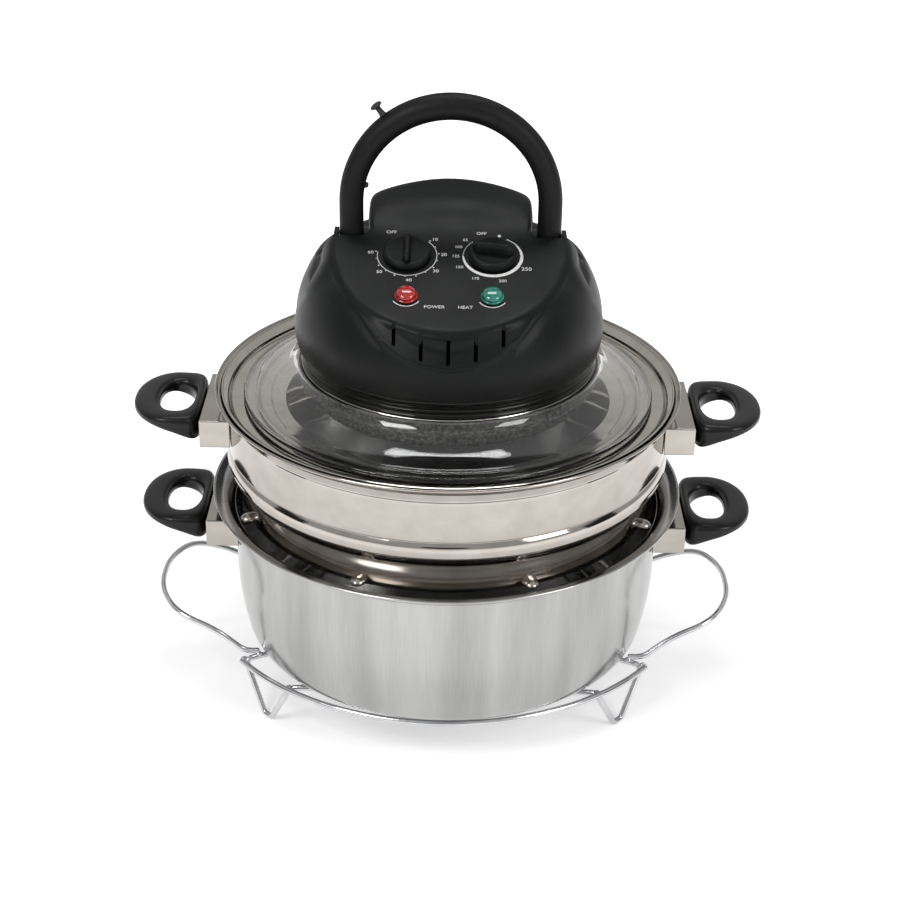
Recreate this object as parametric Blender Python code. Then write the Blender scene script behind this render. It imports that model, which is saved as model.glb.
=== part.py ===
"""Halogen oven: a heater head with a glass lid on a two-tier steel pot, standing on a wire stand.

Lengths are in metres, +Z is up, the front faces -Y, and the origin is on the ground under the
oven's axis. The driving dimensions come first, then each piece has its own function.
"""

import math

import bmesh
import bpy
from mathutils import Matrix, Vector

# Clearances and small construction values
CLEARANCE = 0.0003
OVERRUN = 0.004
MERGE_DISTANCE = 0.000001
SEGMENTS = 40
FINE_SEGMENTS = 20
SMALL_SEGMENTS = 12
SMOOTH_ANGLE = math.radians(35)

# Wire stand, set out around the pot that it carries
POT_RADIUS = 0.1715
WIRE_RADIUS = 0.0024
WIRE_SIDES = 8
SUPPORT_HEIGHT = 0.0430
SUPPORT_FRONT_INSET = 0.0735
SUPPORT_SIDE_INSET = 0.0335
SUPPORT_FRONT_HALF = POT_RADIUS - SUPPORT_FRONT_INSET
SUPPORT_SIDE_REACH = POT_RADIUS - SUPPORT_SIDE_INSET
SUPPORT_SIDE_HALF = 0.0480
FOOT_FRONT_ANGLE = math.radians(36.9)
FOOT_SIDE_ANGLE = math.radians(52.8)
FOOT_SPLAY = 0.0040
FOOT_TIP_INSET = 0.0795
FOOT_TIP = (SUPPORT_SIDE_REACH + FOOT_SPLAY, POT_RADIUS - FOOT_TIP_INSET)
FOOT_FLAT = 0.0090
FOOT_BEND = 0.0060
FOOT_TIP_BEND = 0.0028
FOOT_WELD_SHARE = 1.46
FOOT_INWARD_RUN = 0.0140
ARC_MARGIN = 0.0345
ARC_RADIUS = POT_RADIUS + ARC_MARGIN
ARC_SET_BACK = 0.0500
ARC_WIDTH_SHARE = 0.7961
ARC_STEPS = 14
LOOP_MARGIN = 0.0635
LOOP_REACH = POT_RADIUS + LOOP_MARGIN
LOOP_HEIGHT = 0.0800
LOOP_HALF = 0.0640
LOOP_SEAT_SHARE = 0.45
LOOP_BEND_SHARE = 0.45
LOOP_SHARES = ((0.40, 1, 0.52), (0.80, 0.90, 0.92), (1, 0.36, 1))
LOOP_START_SHARE = 0.14

# Lower pot
POT_WALL = 0.0009
POT_HEIGHT = 0.1290
POT_FLARE = 0.0175
POT_RIM_RADIUS = POT_RADIUS + POT_FLARE
POT_LIP = 0.0016
POT_BODY_SHARES = (
    (0, 0), (0.872, 0), (0.928, 0.018), (0.955, 0.062), (0.968, 0.130), (0.980, 0.210), (0.993, 0.330),
    (1, 0.460), (1, 0.870),
)
POT_FLARE_SHARES = ((0.16, 0.42), (0.50, 0.80), (1, 1))

# Upper ring
RING_WALL = 0.0009
RING_FIT = 0.0056
RING_BULGE = 0.0095
RING_FLARE = 0.0095
RING_FLARE_HEIGHT = 0.0112
RING_NECK_RADIUS = POT_RADIUS - POT_WALL - RING_FIT
RING_RADIUS = RING_NECK_RADIUS + RING_BULGE
RING_RIM_RADIUS = RING_RADIUS + RING_FLARE
RING_FOOT_DROP = 0.0080
RING_SHOULDER_RISE = 0.0170
RING_SHOULDER_HEIGHT = 0.0230
RING_HEIGHT = 0.0890
RING_SHOULDER_SHARES = ((0, -0.16), (0.36, 0.10), (0.90, 0.55), (1.10, 1.15))
RING_BEAD_SHARES = ((1.05, -0.12), (1, 0.10))
RING_FLARE_SHARES = ((0, 0), (0.18, 0.486), (0.55, 0.829), (1, 1))
DIMPLE_RADIUS = 0.0050
DIMPLE_REACH = 0.0092
DIMPLE_COUNT = 8
DIMPLE_TIP_SHARE = 0.7

# Adapter ring between the upper ring and the glass lid
ADAPTER_WALL = 0.0012
ADAPTER_SEAT_SHARE = 0.40
ADAPTER_RIM = 0.0058
ADAPTER_SLOPE = 0.0040
ADAPTER_STEP = 0.0035
ADAPTER_LAP = 0.0140
ADAPTER_LIP = 0.0070
ADAPTER_OUTER = RING_RADIUS + RING_FLARE * ADAPTER_SEAT_SHARE
ADAPTER_STEP_RADIUS = ADAPTER_OUTER - ADAPTER_RIM

# Glass lid, with the skirt's radius at its neck
GLASS_MARGIN = 0.0110
GLASS_SHOULDER = 0.0460
GLASS_WALL = 0.0042
GLASS_NECK_INSET = 0.0005
GLASS_NECK_FLARE = 0.0130
GLASS_BRIM_RISE = 0.0085
GLASS_HEIGHT = 0.0282
GLASS_RADIUS = ADAPTER_STEP_RADIUS - GLASS_MARGIN
SKIRT_RADIUS = GLASS_RADIUS - GLASS_SHOULDER
GLASS_NECK_RADIUS = SKIRT_RADIUS - GLASS_NECK_INSET
GLASS_BRIM_RADIUS = GLASS_NECK_RADIUS + GLASS_NECK_FLARE
ADAPTER_INNER = GLASS_RADIUS - ADAPTER_LAP

# Head: skirt, shield, guard and retaining ring
SKIRT_HEIGHT = 0.0150
SKIRT_WALL = 0.0022
SKIRT_FLANGE = 0.0095
SKIRT_TUCK = 0.0075
SHIELD_WALL = 0.0012
RETAINER_WALL = 0.0030
RETAINER_DEPTH = 0.0140
RETAINER_FOOT = 0.0030
GUARD_WALL = 0.0010
GUARD_DEPTH = 0.0280
GUARD_SLOT_COUNT = 12
GUARD_SLOT_WIDTH = 0.0060
GUARD_SLOT_INNER = 0.0420
GUARD_SLOT_INSET = 0.0170
GUARD_SLOT_OUTER = GLASS_NECK_RADIUS - GUARD_SLOT_INSET

# Head cover
COVER_OVERHANG = 0.0047
COVER_RADIUS = SKIRT_RADIUS + COVER_OVERHANG
COVER_WALL = 0.0025
COVER_WAIST = 0.0195
COVER_TUCK = 0.0024
COVER_RISE = 0.1070
COVER_POWER = 0.6
COVER_DOME_SHARES = (0.99, 0.966, 0.93, 0.88, 0.82, 0.74, 0.64, 0.52, 0.38, 0.2, 0)
PANEL_PITCH = math.radians(20)
PANEL_SETBACK = 0.0082
PANEL_FRONT_REACH = COVER_RADIUS - PANEL_SETBACK
PANEL_FRONT_RISE = 0.0330
DECK_RISE = 0.0505
DECK_FRONT = -0.0040
HUMP_FRONT = 0.0100
HUMP_STEPS = 14
HUMP_TOP_RISE = 0.0895
HUMP_REAR_PITCH = math.radians(34)
HUMP_REAR_START = 0.0420
HUMP_SIDE_START = 0.0300
HUMP_SIDE_PITCH = math.radians(14)
HUMP_GAP = 0.0042
VENT_SPACING = 0.0198
VENT_WIDTH = 0.0026
VENT_COUNT = 5
VENT_REACHES = (0.0092, 0.0096, 0.0140)
VENT_LOW_RISES = (0.0112, 0.0135, 0.0219)
REAR_VENT_SPACING = 0.0110
REAR_VENT_COUNT = 7
REAR_VENT_WIDTH = 0.0030
REAR_VENT_HEIGHT = 0.0120
REAR_VENT_RISE = 0.0350

# Controls
KNOB_SPREAD = 0.0320
KNOB_REACH = 0.0330
KNOB_RADIUS = 0.0182
KNOB_HEIGHT = 0.0060
KNOB_GRIP_WIDTH = 0.0080
KNOB_GRIP_HEIGHT = 0.0065
KNOB_STEM_RADIUS = 0.0040
KNOB_STEM_DEPTH = 0.0100
KNOB_LIFT = 0.0004
LENS_SPREAD = 0.0315
LENS_REACH = 0.0750
LENS_RADIUS = 0.0085
LENS_HEIGHT = 0.0050
LENS_STEM_RADIUS = 0.0060
LENS_STEM_DEPTH = 0.0090
TIMER_SIDE = 0.0300
TIMER_DEPTH = 0.0220
THERMOSTAT_RADIUS = 0.0140
THERMOSTAT_DEPTH = 0.0160

# Bail handle and its pivots
BAIL_INSET = 0.0447
BAIL_RADIUS = COVER_RADIUS - BAIL_INSET
BAIL_LEG_RADIUS = 0.0092
BAIL_GRIP_RADIUS = 0.0101
BAIL_LEG_HEIGHT = 0.0295
BAIL_END_DROP = 0.0075
BAIL_END_SHARES = (1, 0.92, 0.72, 0.4)
BAIL_SIDES = 12
BAIL_STEPS = 16
PIVOT_RISE = 0.0620
PIVOT_GAP = 0.0005
PIN_RADIUS = 0.0030
CLEVIS_WALL = 0.0032
CLEVIS_HALF_DEPTH = 0.0115
CLEVIS_BASE = 0.0040
CLEVIS_FLOOR = 0.0130
CLEVIS_TOP = 0.0070
PEG_ANGLE = math.radians(127)
PEG_RADIUS = 0.0022
PEG_HEIGHT = 0.0080
PEG_HEAD_RADIUS = 0.0048
PEG_HEAD_HEIGHT = 0.0024
NUB_RISE = 0.0450
NUB_RADIUS = 0.0022
NUB_HEIGHT = 0.0024
SWITCH_STROKE = BAIL_LEG_RADIUS - BAIL_END_DROP
PLUNGER_RADIUS = 0.0016
PLUNGER_LENGTH = 0.0140
SWITCH_SIZE = (0.0200, 0.0100, 0.0120)

# Heater, fan and motor
LAMP_INSET = 0.0370
LAMP_RING_RADIUS = GLASS_NECK_RADIUS - LAMP_INSET
LAMP_TUBE_RADIUS = 0.0055
LAMP_DROP = 0.0190
LAMP_SIDES = 6
LAMP_STEPS = 24
HOLDER_SIZE = (0.0160, 0.0170, 0.0230)
HOLDER_GAP = 0.0080
SHAFT_RADIUS = 0.0030
SHAFT_BOTTOM_DROP = 0.0210
SHAFT_TOP_RISE = 0.0640
FAN_RADIUS = 0.0400
FAN_BLADE_HEIGHT = 0.0120
FAN_BLADE_WIDTH = 0.0014
FAN_BLADE_COUNT = 8
FAN_HUB_RADIUS = 0.0080
FAN_GAP = 0.0040
MOTOR_RADIUS = 0.0250
MOTOR_HEIGHT = 0.0320
BRACKET_HEIGHT = 0.0220
BRACKET_HALF = 0.0550
BRACKET_DEPTH = 0.0240
BRACKET_WALL = 0.0020
INLET_SIZE = (0.0300, 0.0240, 0.0220)

# Side handles and their brackets
HANDLE_TOP_DROP = 0.0170
RING_HANDLE_GAP = 0.0098
POT_HANDLE_GAP = 0.0035
HANDLE_LENGTH = 0.0552
HANDLE_HALF = 0.0445
HANDLE_HOLE_SHARES = (0.1395, 0.6286)
HANDLE_HOLE_HALF_SHARE = 0.5955
HANDLE_ROOT_DEPTH = 0.0260
HANDLE_TIP_DEPTH = 0.0075
HANDLE_EDGE_SHARE = 0.16
HANDLE_STATIONS = 20
BRACKET_BOX_INSET = 0.0005
BRACKET_BOX_DEPTH = 0.0230
BRACKET_BOX_HALF = HANDLE_HALF - BRACKET_BOX_INSET

# Heights that follow from the sizes above
WIRE_TOP = SUPPORT_HEIGHT + WIRE_RADIUS
POT_BASE = WIRE_TOP + CLEARANCE
POT_TOP = POT_BASE + POT_HEIGHT
RING_BASE = POT_TOP - RING_FOOT_DROP
RING_TOP = RING_BASE + RING_FOOT_DROP + RING_HEIGHT
ADAPTER_TOP = RING_TOP - POT_LIP + CLEARANCE
LEDGE_HEIGHT = ADAPTER_TOP - ADAPTER_SLOPE - ADAPTER_STEP
GLASS_BASE = LEDGE_HEIGHT + CLEARANCE
GLASS_TOP = GLASS_BASE + GLASS_HEIGHT
SKIRT_BASE = GLASS_TOP + CLEARANCE
SKIRT_TOP = SKIRT_BASE + SKIRT_HEIGHT
COVER_LIP = SKIRT_TOP + CLEARANCE
COVER_WIDEST = COVER_LIP + COVER_WAIST
SHIELD_BASE = SKIRT_BASE + SKIRT_WALL + CLEARANCE
SHIELD_TOP = SHIELD_BASE + SHIELD_WALL
PANEL_FRONT_HEIGHT = COVER_WIDEST + PANEL_FRONT_RISE
DECK_HEIGHT = COVER_WIDEST + DECK_RISE
PIVOT_HEIGHT = COVER_WIDEST + PIVOT_RISE
HUMP_TOP = COVER_WIDEST + HUMP_TOP_RISE
HUMP_RADIUS = BAIL_RADIUS - BAIL_GRIP_RADIUS - HUMP_GAP
PANEL_NORMAL = Vector((0, -math.sin(PANEL_PITCH), math.cos(PANEL_PITCH)))
PANEL_TURN = Matrix.Rotation(PANEL_PITCH, 4, "X")


def clear_scene():
    for old in list(bpy.data.objects):
        bpy.data.objects.remove(old, do_unlink=True)


def finish(name, colour, roughness, metallic=0.0, alpha=1.0):
    material = bpy.data.materials.new(name)
    material.use_nodes = True
    shader = material.node_tree.nodes["Principled BSDF"]
    shader.inputs["Base Color"].default_value = (*colour, 1)
    shader.inputs["Roughness"].default_value = roughness
    shader.inputs["Metallic"].default_value = metallic
    shader.inputs["Alpha"].default_value = alpha
    return material


def solid(name, mesh, material, place=(0, 0, 0), turn=None):
    """Make an object of a finished bmesh, its faces turned outward and its round faces smooth."""
    bmesh.ops.remove_doubles(mesh, verts=mesh.verts, dist=MERGE_DISTANCE)
    bmesh.ops.recalc_face_normals(mesh, faces=mesh.faces)
    data = bpy.data.meshes.new(name)
    mesh.to_mesh(data)
    mesh.free()
    data.shade_smooth()
    data.set_sharp_from_angle(angle=SMOOTH_ANGLE)
    data.materials.append(material)
    piece = bpy.data.objects.new(name, data)
    piece.matrix_world = Matrix.Translation(Vector(place)) @ (turn or Matrix.Identity(4))
    bpy.context.scene.collection.objects.link(piece)
    return piece


def combine(piece, tool, operation):
    """Cut a piece with a tool, or join the tool to it, and keep the tool as a guide."""
    tool.hide_render = True
    tool.display_type = "WIRE"
    boolean = piece.modifiers.new(tool.name, "BOOLEAN")
    boolean.operation = operation
    boolean.solver = "EXACT"
    boolean.object = tool


def turned(outline, segments=SEGMENTS, closed=True):
    """Spin an outline of (radius, height) points about Z; an open one starts and ends on the axis."""
    mesh = bmesh.new()
    corners = [mesh.verts.new((radius, 0, height)) for radius, height in outline]
    following = corners[1:] + corners[:1] if closed else corners[1:]
    edges = [mesh.edges.new(pair) for pair in zip(corners, following)]
    bmesh.ops.spin(
        mesh, geom=corners + edges, cent=(0, 0, 0), axis=(0, 0, 1), angle=math.tau,
        steps=segments, use_merge=True,
    )
    return mesh


def add_box(mesh, low, high):
    """Add a box between two corners to a bmesh and give back its vertices."""
    middle = (Vector(low) + Vector(high)) / 2
    size = Vector(high) - Vector(low)
    made = bmesh.ops.create_cube(mesh, size=1)
    bmesh.ops.scale(mesh, vec=size, verts=made["verts"])
    bmesh.ops.translate(mesh, vec=middle, verts=made["verts"])
    return made["verts"]


def box(low, high):
    mesh = bmesh.new()
    add_box(mesh, low, high)
    return mesh


def add_prism(mesh, outline, low, high):
    """Extrude an outline of (x, y) points between two heights."""
    corners = [mesh.verts.new((x, y, low)) for x, y in outline]
    base = mesh.faces.new(corners)
    made = bmesh.ops.extrude_face_region(mesh, geom=[base])
    raised = [item for item in made["geom"] if isinstance(item, bmesh.types.BMVert)]
    bmesh.ops.translate(mesh, vec=(0, 0, high - low), verts=raised)
    return corners + raised


def rod(radius, low, high, segments=FINE_SEGMENTS):
    return turned([(0, low), (radius, low), (radius, high), (0, high)], segments, closed=False)


def ring(inner, outer, low, high, segments=FINE_SEGMENTS):
    return turned([(inner, low), (outer, low), (outer, high), (inner, high)], segments)


def offset_line(points, distance):
    """Move a line of points sideways, to its left, by the given distance."""
    moved = []
    for index, point in enumerate(points):
        before = Vector(points[max(index - 1, 0)])
        after = Vector(points[min(index + 1, len(points) - 1)])
        here = Vector(point)
        first = (here - before).normalized() if index else (after - here).normalized()
        second = (after - here).normalized() if index < len(points) - 1 else first
        along = (first + second).normalized()
        widening = 1 / max(along.dot(first), 0.5)
        moved.append((here.x - along.y * distance * widening, here.y + along.x * distance * widening))
    return moved


def sheet_outline(points, wall):
    """Outline of a sheet whose outer face follows the points, with its wall to their left."""
    inner = offset_line(points, wall)
    if points[0][0] == 0:
        inner[0] = (0, inner[0][1])
    return list(points) + inner[::-1]


def rounded_path(corners, bends, steps=2):
    """Points along a line of corners, each inner corner rounded over its tangent length."""
    corners = [Vector(corner) for corner in corners]
    path = []
    for index, corner in enumerate(corners):
        if index in (0, len(corners) - 1):
            path.append(corner)
            continue
        before = corners[index - 1] - corner
        after = corners[index + 1] - corner
        reach = min(bends[index - 1], before.length * 0.49, after.length * 0.49)
        start = corner + before.normalized() * reach
        end = corner + after.normalized() * reach
        for step in range(steps + 1):
            share = step / steps
            near = start.lerp(corner, share)
            far = corner.lerp(end, share)
            path.append(near.lerp(far, share))
    return path


def swept(points, radii, sides, up, anchor=0):
    """Sweep a regular section along points with mitred corners, so that straight runs stay flat-sided.

    The section is set square to up on the run that follows the anchor point.
    """
    points = [Vector(point) for point in points]
    runs = [(after - before).normalized() for before, after in zip(points, points[1:])]
    bounds = [runs[0]] + [(a + b).normalized() for a, b in zip(runs, runs[1:])] + [runs[-1]]
    flat = (Vector(up) - runs[anchor] * runs[anchor].dot(Vector(up))).normalized()
    other = runs[anchor].cross(flat)
    spokes = []
    for step in range(sides):
        angle = math.tau * (step + 0.5) / sides
        spokes.append(flat * math.cos(angle) + other * math.sin(angle))

    def carried(section, run, bound):
        return [spoke - run * (spoke.dot(bound) / run.dot(bound)) for spoke in section]

    sections = {}
    section = spokes
    for index in range(anchor + 1, len(points)):
        section = carried(section, runs[index - 1], bounds[index])
        sections[index] = section
    section = spokes
    for index in range(anchor, -1, -1):
        section = carried(section, runs[index], bounds[index])
        sections[index] = section
    mesh = bmesh.new()
    loops = []
    for index, (point, radius) in enumerate(zip(points, radii)):
        loops.append([mesh.verts.new(point + spoke * radius) for spoke in sections[index]])
    for first, second in zip(loops, loops[1:]):
        for step in range(sides):
            following = (step + 1) % sides
            mesh.faces.new((first[step], first[following], second[following], second[step]))
    mesh.faces.new(loops[0][::-1])
    mesh.faces.new(loops[-1])
    return mesh


def wire(points, anchor=0, up=(0, 0, 1)):
    return swept(points, [WIRE_RADIUS] * len(points), WIRE_SIDES, up, anchor)


def mirrored(points, across, along):
    """Flip points across the oven's middle planes: across and along are +1 or -1."""
    return [(x * across, y * along, z) for x, y, z in points]


def panel_height(reach):
    """Height of the sloping panel at a distance in front of the oven's axis."""
    return PANEL_FRONT_HEIGHT + (PANEL_FRONT_REACH - reach) * math.tan(PANEL_PITCH)


def panel_point(across, reach, lift=0.0):
    """Point over the panel, lifted along its normal."""
    return Vector((across, -reach, panel_height(reach))) + PANEL_NORMAL * lift


def make_stand(steel):
    front_names = {-1: "front", 1: "rear"}
    side_names = {-1: "left", 1: "right"}
    drop = WIRE_RADIUS * math.cos(math.pi / WIRE_SIDES)
    for along, end in front_names.items():
        half_angle = math.asin(ARC_WIDTH_SHARE)
        arc = []
        for step in range(ARC_STEPS + 1):
            angle = half_angle * (2 * step / ARC_STEPS - 1)
            back = along * (ARC_RADIUS * math.cos(angle) - ARC_SET_BACK)
            arc.append((ARC_RADIUS * math.sin(angle), back, SUPPORT_HEIGHT))
        solid(f"stand_{end}_arc", wire(arc), steel)
        reach = foot_top(FOOT_FRONT_ANGLE).y * along
        support = [(-SUPPORT_FRONT_HALF, reach, SUPPORT_HEIGHT), (SUPPORT_FRONT_HALF, reach, SUPPORT_HEIGHT)]
        solid(f"stand_{end}_support", wire(support), steel)
    for across, side in side_names.items():
        support = [(SUPPORT_SIDE_REACH * across, -SUPPORT_SIDE_HALF, SUPPORT_HEIGHT),
                   (SUPPORT_SIDE_REACH * across, SUPPORT_SIDE_HALF, SUPPORT_HEIGHT)]
        solid(f"stand_{side}_support", wire(support), steel)
        for along, end in front_names.items():
            solid(f"stand_foot_{end}_{side}", foot_wire(across, along, drop), steel)
        loop = loop_path()
        solid(f"stand_{side}_loop", wire(mirrored(loop, across, 1), anchor=len(loop) // 2), steel)


def foot_top(angle):
    """Where a foot's wire bends down, just inside the arc that it is welded to."""
    inside = ARC_RADIUS - FOOT_WELD_SHARE * WIRE_RADIUS - CLEARANCE
    return Vector((inside * math.sin(angle), inside * math.cos(angle) - ARC_SET_BACK, SUPPORT_HEIGHT))


def foot_wire(across, along, drop):
    """One U-shaped foot: from the front support down to the ground and up to the side support."""
    front_top = foot_top(FOOT_FRONT_ANGLE)
    side_top = foot_top(FOOT_SIDE_ANGLE)
    front_end = Vector((SUPPORT_FRONT_HALF + CLEARANCE, front_top.y, SUPPORT_HEIGHT))
    side_end = Vector((SUPPORT_SIDE_REACH, SUPPORT_SIDE_HALF + CLEARANCE, SUPPORT_HEIGHT))
    side_turn = side_end + Vector((0, FOOT_INWARD_RUN, 0))
    tip = Vector((*FOOT_TIP, drop))
    spread = (side_top - front_top).normalized() * FOOT_FLAT / 2
    corners = [front_end, front_top, tip - spread, tip + spread, side_top, side_turn, side_end]
    bends = [FOOT_BEND, FOOT_TIP_BEND, FOOT_TIP_BEND, FOOT_BEND, FOOT_BEND]
    path = rounded_path(corners, bends)
    middle = min(range(len(path) - 1), key=lambda index: ((path[index] + path[index + 1]) / 2 - tip).length)
    return wire(mirrored(path, across, along), anchor=middle)


def loop_path():
    """Side carrying loop: it rises from the foot, runs out past the pot and comes back."""
    top = foot_top(FOOT_SIDE_ANGLE)
    seat = top.lerp(Vector((SUPPORT_SIDE_REACH, SUPPORT_SIDE_HALF + FOOT_INWARD_RUN, top.z)), LOOP_SEAT_SHARE)
    seat.z += 2 * WIRE_RADIUS + CLEARANCE
    out = LOOP_REACH - seat.x
    rise = LOOP_HEIGHT - seat.z
    half = [(seat.x, -seat.y, seat.z), (seat.x + out * LOOP_START_SHARE, -seat.y, seat.z)]
    half += [(seat.x + out * far, -LOOP_HALF * wide, seat.z + rise * up) for far, wide, up in LOOP_SHARES]
    corners = half + [(x, -y, z) for x, y, z in half[::-1]]
    return rounded_path(corners, [LOOP_HALF * LOOP_BEND_SHARE] * len(corners))


def pot_outline():
    """Outer face of the lower pot, from the middle of its base to the edge of its flared rim."""
    outer = [(POT_RADIUS * across, POT_BASE + POT_HEIGHT * up) for across, up in POT_BODY_SHARES]
    shoulder = outer[-1][1]
    rise = POT_TOP - POT_LIP - shoulder
    outer += [(POT_RADIUS + POT_FLARE * across, shoulder + rise * up) for across, up in POT_FLARE_SHARES]
    return outer


def make_pot(steel):
    return solid("lower_pot", turned(sheet_outline(pot_outline(), POT_WALL), closed=False), steel)


def pot_seat_height(radius):
    """Height of the flared rim's inner face at a radius, on the flat of its facets."""
    nominal = radius / math.cos(math.pi / SEGMENTS)
    inner = offset_line(pot_outline(), POT_WALL)
    for (near, low), (far, high) in zip(inner, inner[1:]):
        if near <= nominal <= far and near > POT_RADIUS - POT_WALL:
            return low + (high - low) * (nominal - near) / (far - near)
    return POT_TOP


def make_upper_ring(steel):
    shoulder_low = POT_TOP + RING_SHOULDER_RISE
    shoulder_high = shoulder_low + RING_SHOULDER_HEIGHT
    flare_low = RING_TOP - POT_LIP - RING_FLARE_HEIGHT
    outer = [(RING_NECK_RADIUS - RING_WALL, RING_BASE)]
    for start, shares in ((shoulder_low, RING_SHOULDER_SHARES), (shoulder_high, RING_BEAD_SHARES)):
        outer += [(RING_NECK_RADIUS + RING_BULGE * across, start + RING_BULGE * up) for across, up in shares]
    for across, up in RING_FLARE_SHARES:
        outer.append((RING_RADIUS + RING_FLARE * across, flare_low + RING_FLARE_HEIGHT * up))
    band = solid("upper_ring", turned(sheet_outline(outer, RING_WALL)), steel)
    dimples = bmesh.new()
    reach = RING_NECK_RADIUS + DIMPLE_REACH
    height = pot_seat_height(reach) + CLEARANCE * 2 + DIMPLE_RADIUS * DIMPLE_TIP_SHARE
    for count in range(DIMPLE_COUNT):
        angle = math.tau * (count + 0.5) / DIMPLE_COUNT
        turn = Matrix.Rotation(angle, 4, "Z") @ Matrix.Rotation(math.pi / 2, 4, "Y")
        place = Matrix.Translation((0, 0, height)) @ turn
        middle = (reach + RING_NECK_RADIUS - RING_WALL * 3) / 2
        bmesh.ops.create_cone(
            dimples, cap_ends=True, segments=WIRE_SIDES, radius1=DIMPLE_RADIUS,
            radius2=DIMPLE_RADIUS * DIMPLE_TIP_SHARE,
            depth=reach - RING_NECK_RADIUS + RING_WALL * 3,
            matrix=place @ Matrix.Translation((0, 0, middle)),
        )
    tool = solid("dimple_guide", dimples, steel)
    combine(band, tool, "UNION")
    return band


def make_adapter(steel):
    outer = [
        (ADAPTER_OUTER, ADAPTER_TOP),
        (ADAPTER_STEP_RADIUS, ADAPTER_TOP - ADAPTER_SLOPE),
        (ADAPTER_STEP_RADIUS - ADAPTER_WALL, ADAPTER_TOP - ADAPTER_SLOPE - ADAPTER_STEP),
        (ADAPTER_INNER, LEDGE_HEIGHT),
        (ADAPTER_INNER - ADAPTER_WALL, LEDGE_HEIGHT - ADAPTER_LIP),
    ]
    return solid("adapter_ring", turned(sheet_outline(outer, ADAPTER_WALL)), steel)


def make_side_handle(name, root, top, material):
    """D-shaped handle on +X with a finger hole; its underside tapers up towards the tip."""
    hole_root, hole_reach = [root + HANDLE_LENGTH * share for share in HANDLE_HOLE_SHARES]
    middle = (hole_root + hole_reach) / 2
    half_hole = (hole_reach - hole_root) / 2
    hole_half = HANDLE_HALF * HANDLE_HOLE_HALF_SHARE
    mesh = bmesh.new()
    loops = []
    for station in range(HANDLE_STATIONS):
        angle = math.tau * station / HANDLE_STATIONS
        outward = math.cos(angle) >= 0
        reach = root + HANDLE_LENGTH - middle if outward else middle - root
        power = 0.92 if outward else 0.42
        outer = Vector((middle + reach * signed_power(math.cos(angle), power),
                        HANDLE_HALF * signed_power(math.sin(angle), power)))
        inner = Vector((middle + half_hole * signed_power(math.cos(angle), 0.85),
                        hole_half * signed_power(math.sin(angle), 0.85)))
        loops.append([mesh.verts.new(corner) for corner in handle_section(inner, outer, root, top)])
    count = len(loops[0])
    for index, first in enumerate(loops):
        second = loops[(index + 1) % HANDLE_STATIONS]
        for step in range(count):
            following = (step + 1) % count
            mesh.faces.new((first[step], first[following], second[following], second[step]))
    return solid(name, mesh, material)


def signed_power(value, power):
    return math.copysign(abs(value) ** power, value)


def handle_section(inner, outer, root, top):
    """Eight corners of the handle's section between its finger hole and its outer edge."""
    edge = HANDLE_EDGE_SHARE

    def underside(x):
        share = min(max((x - root) / HANDLE_LENGTH, 0), 1)
        depth = HANDLE_TIP_DEPTH + (HANDLE_ROOT_DEPTH - HANDLE_TIP_DEPTH) * (1 - share) ** 2
        return top - depth

    corners = []
    for across, up in ((0, edge), (0, 1 - edge), (edge, 1), (1 - edge, 1),
                       (1, 1 - edge), (1, edge), (1 - edge, 0), (edge, 0)):
        spot = inner.lerp(outer, across)
        low = underside(spot.x)
        corners.append((spot.x, spot.y, low + (top - low) * up))
    return corners


def make_tier_fittings(tier, top, wall_radius, root, bakelite, steel):
    """The two handles and their welded brackets on one tier of the pot."""
    handle_top = top - HANDLE_TOP_DROP
    inner = math.sqrt(wall_radius ** 2 - BRACKET_BOX_HALF ** 2) - OVERRUN
    for side, turn in (("right", 0), ("left", math.pi)):
        rotation = Matrix.Rotation(turn, 4, "Z")
        handle = make_side_handle(f"{tier}_handle_{side}", root, handle_top, bakelite)
        handle.matrix_world = rotation
        high = handle_top - CLEARANCE * 8
        low = (inner, -BRACKET_BOX_HALF, high - BRACKET_BOX_DEPTH)
        mesh = box(low, (root - CLEARANCE, BRACKET_BOX_HALF, high))
        bracket = solid(f"{tier}_bracket_{side}", mesh, steel, turn=rotation)
        room = rod(wall_radius + CLEARANCE, high - BRACKET_BOX_DEPTH - OVERRUN, high + OVERRUN, SEGMENTS)
        combine(bracket, solid(f"{tier}_bracket_{side}_room", room, steel), "DIFFERENCE")


def make_glass(glass):
    neck = GLASS_NECK_RADIUS + GLASS_WALL / 2
    brim = GLASS_BRIM_RADIUS
    upper = [
        (GLASS_RADIUS, GLASS_BASE + GLASS_WALL * 0.55),
        (GLASS_RADIUS - GLASS_WALL * 0.25, GLASS_BASE + GLASS_WALL),
        (GLASS_RADIUS - (GLASS_RADIUS - brim) * 0.55, GLASS_BASE + GLASS_WALL + GLASS_BRIM_RISE * 0.36),
        (brim, GLASS_BASE + GLASS_WALL + GLASS_BRIM_RISE),
        (brim - (brim - neck) * 0.62, GLASS_BASE + GLASS_WALL + GLASS_BRIM_RISE * 1.75),
        (neck, GLASS_TOP),
    ]
    lower = [
        (neck - GLASS_WALL, GLASS_TOP),
        (brim - GLASS_WALL - (brim - neck) * 0.62, GLASS_BASE + GLASS_BRIM_RISE * 1.75),
        (brim - GLASS_WALL * 0.5, GLASS_BASE + GLASS_BRIM_RISE),
        (GLASS_RADIUS - (GLASS_RADIUS - brim) * 0.55, GLASS_BASE + GLASS_BRIM_RISE * 0.36),
        (GLASS_RADIUS - GLASS_WALL * 1.4, GLASS_BASE),
        (GLASS_RADIUS - GLASS_WALL * 0.2, GLASS_BASE),
    ]
    return solid("glass_lid", turned(upper + lower), glass)


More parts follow.
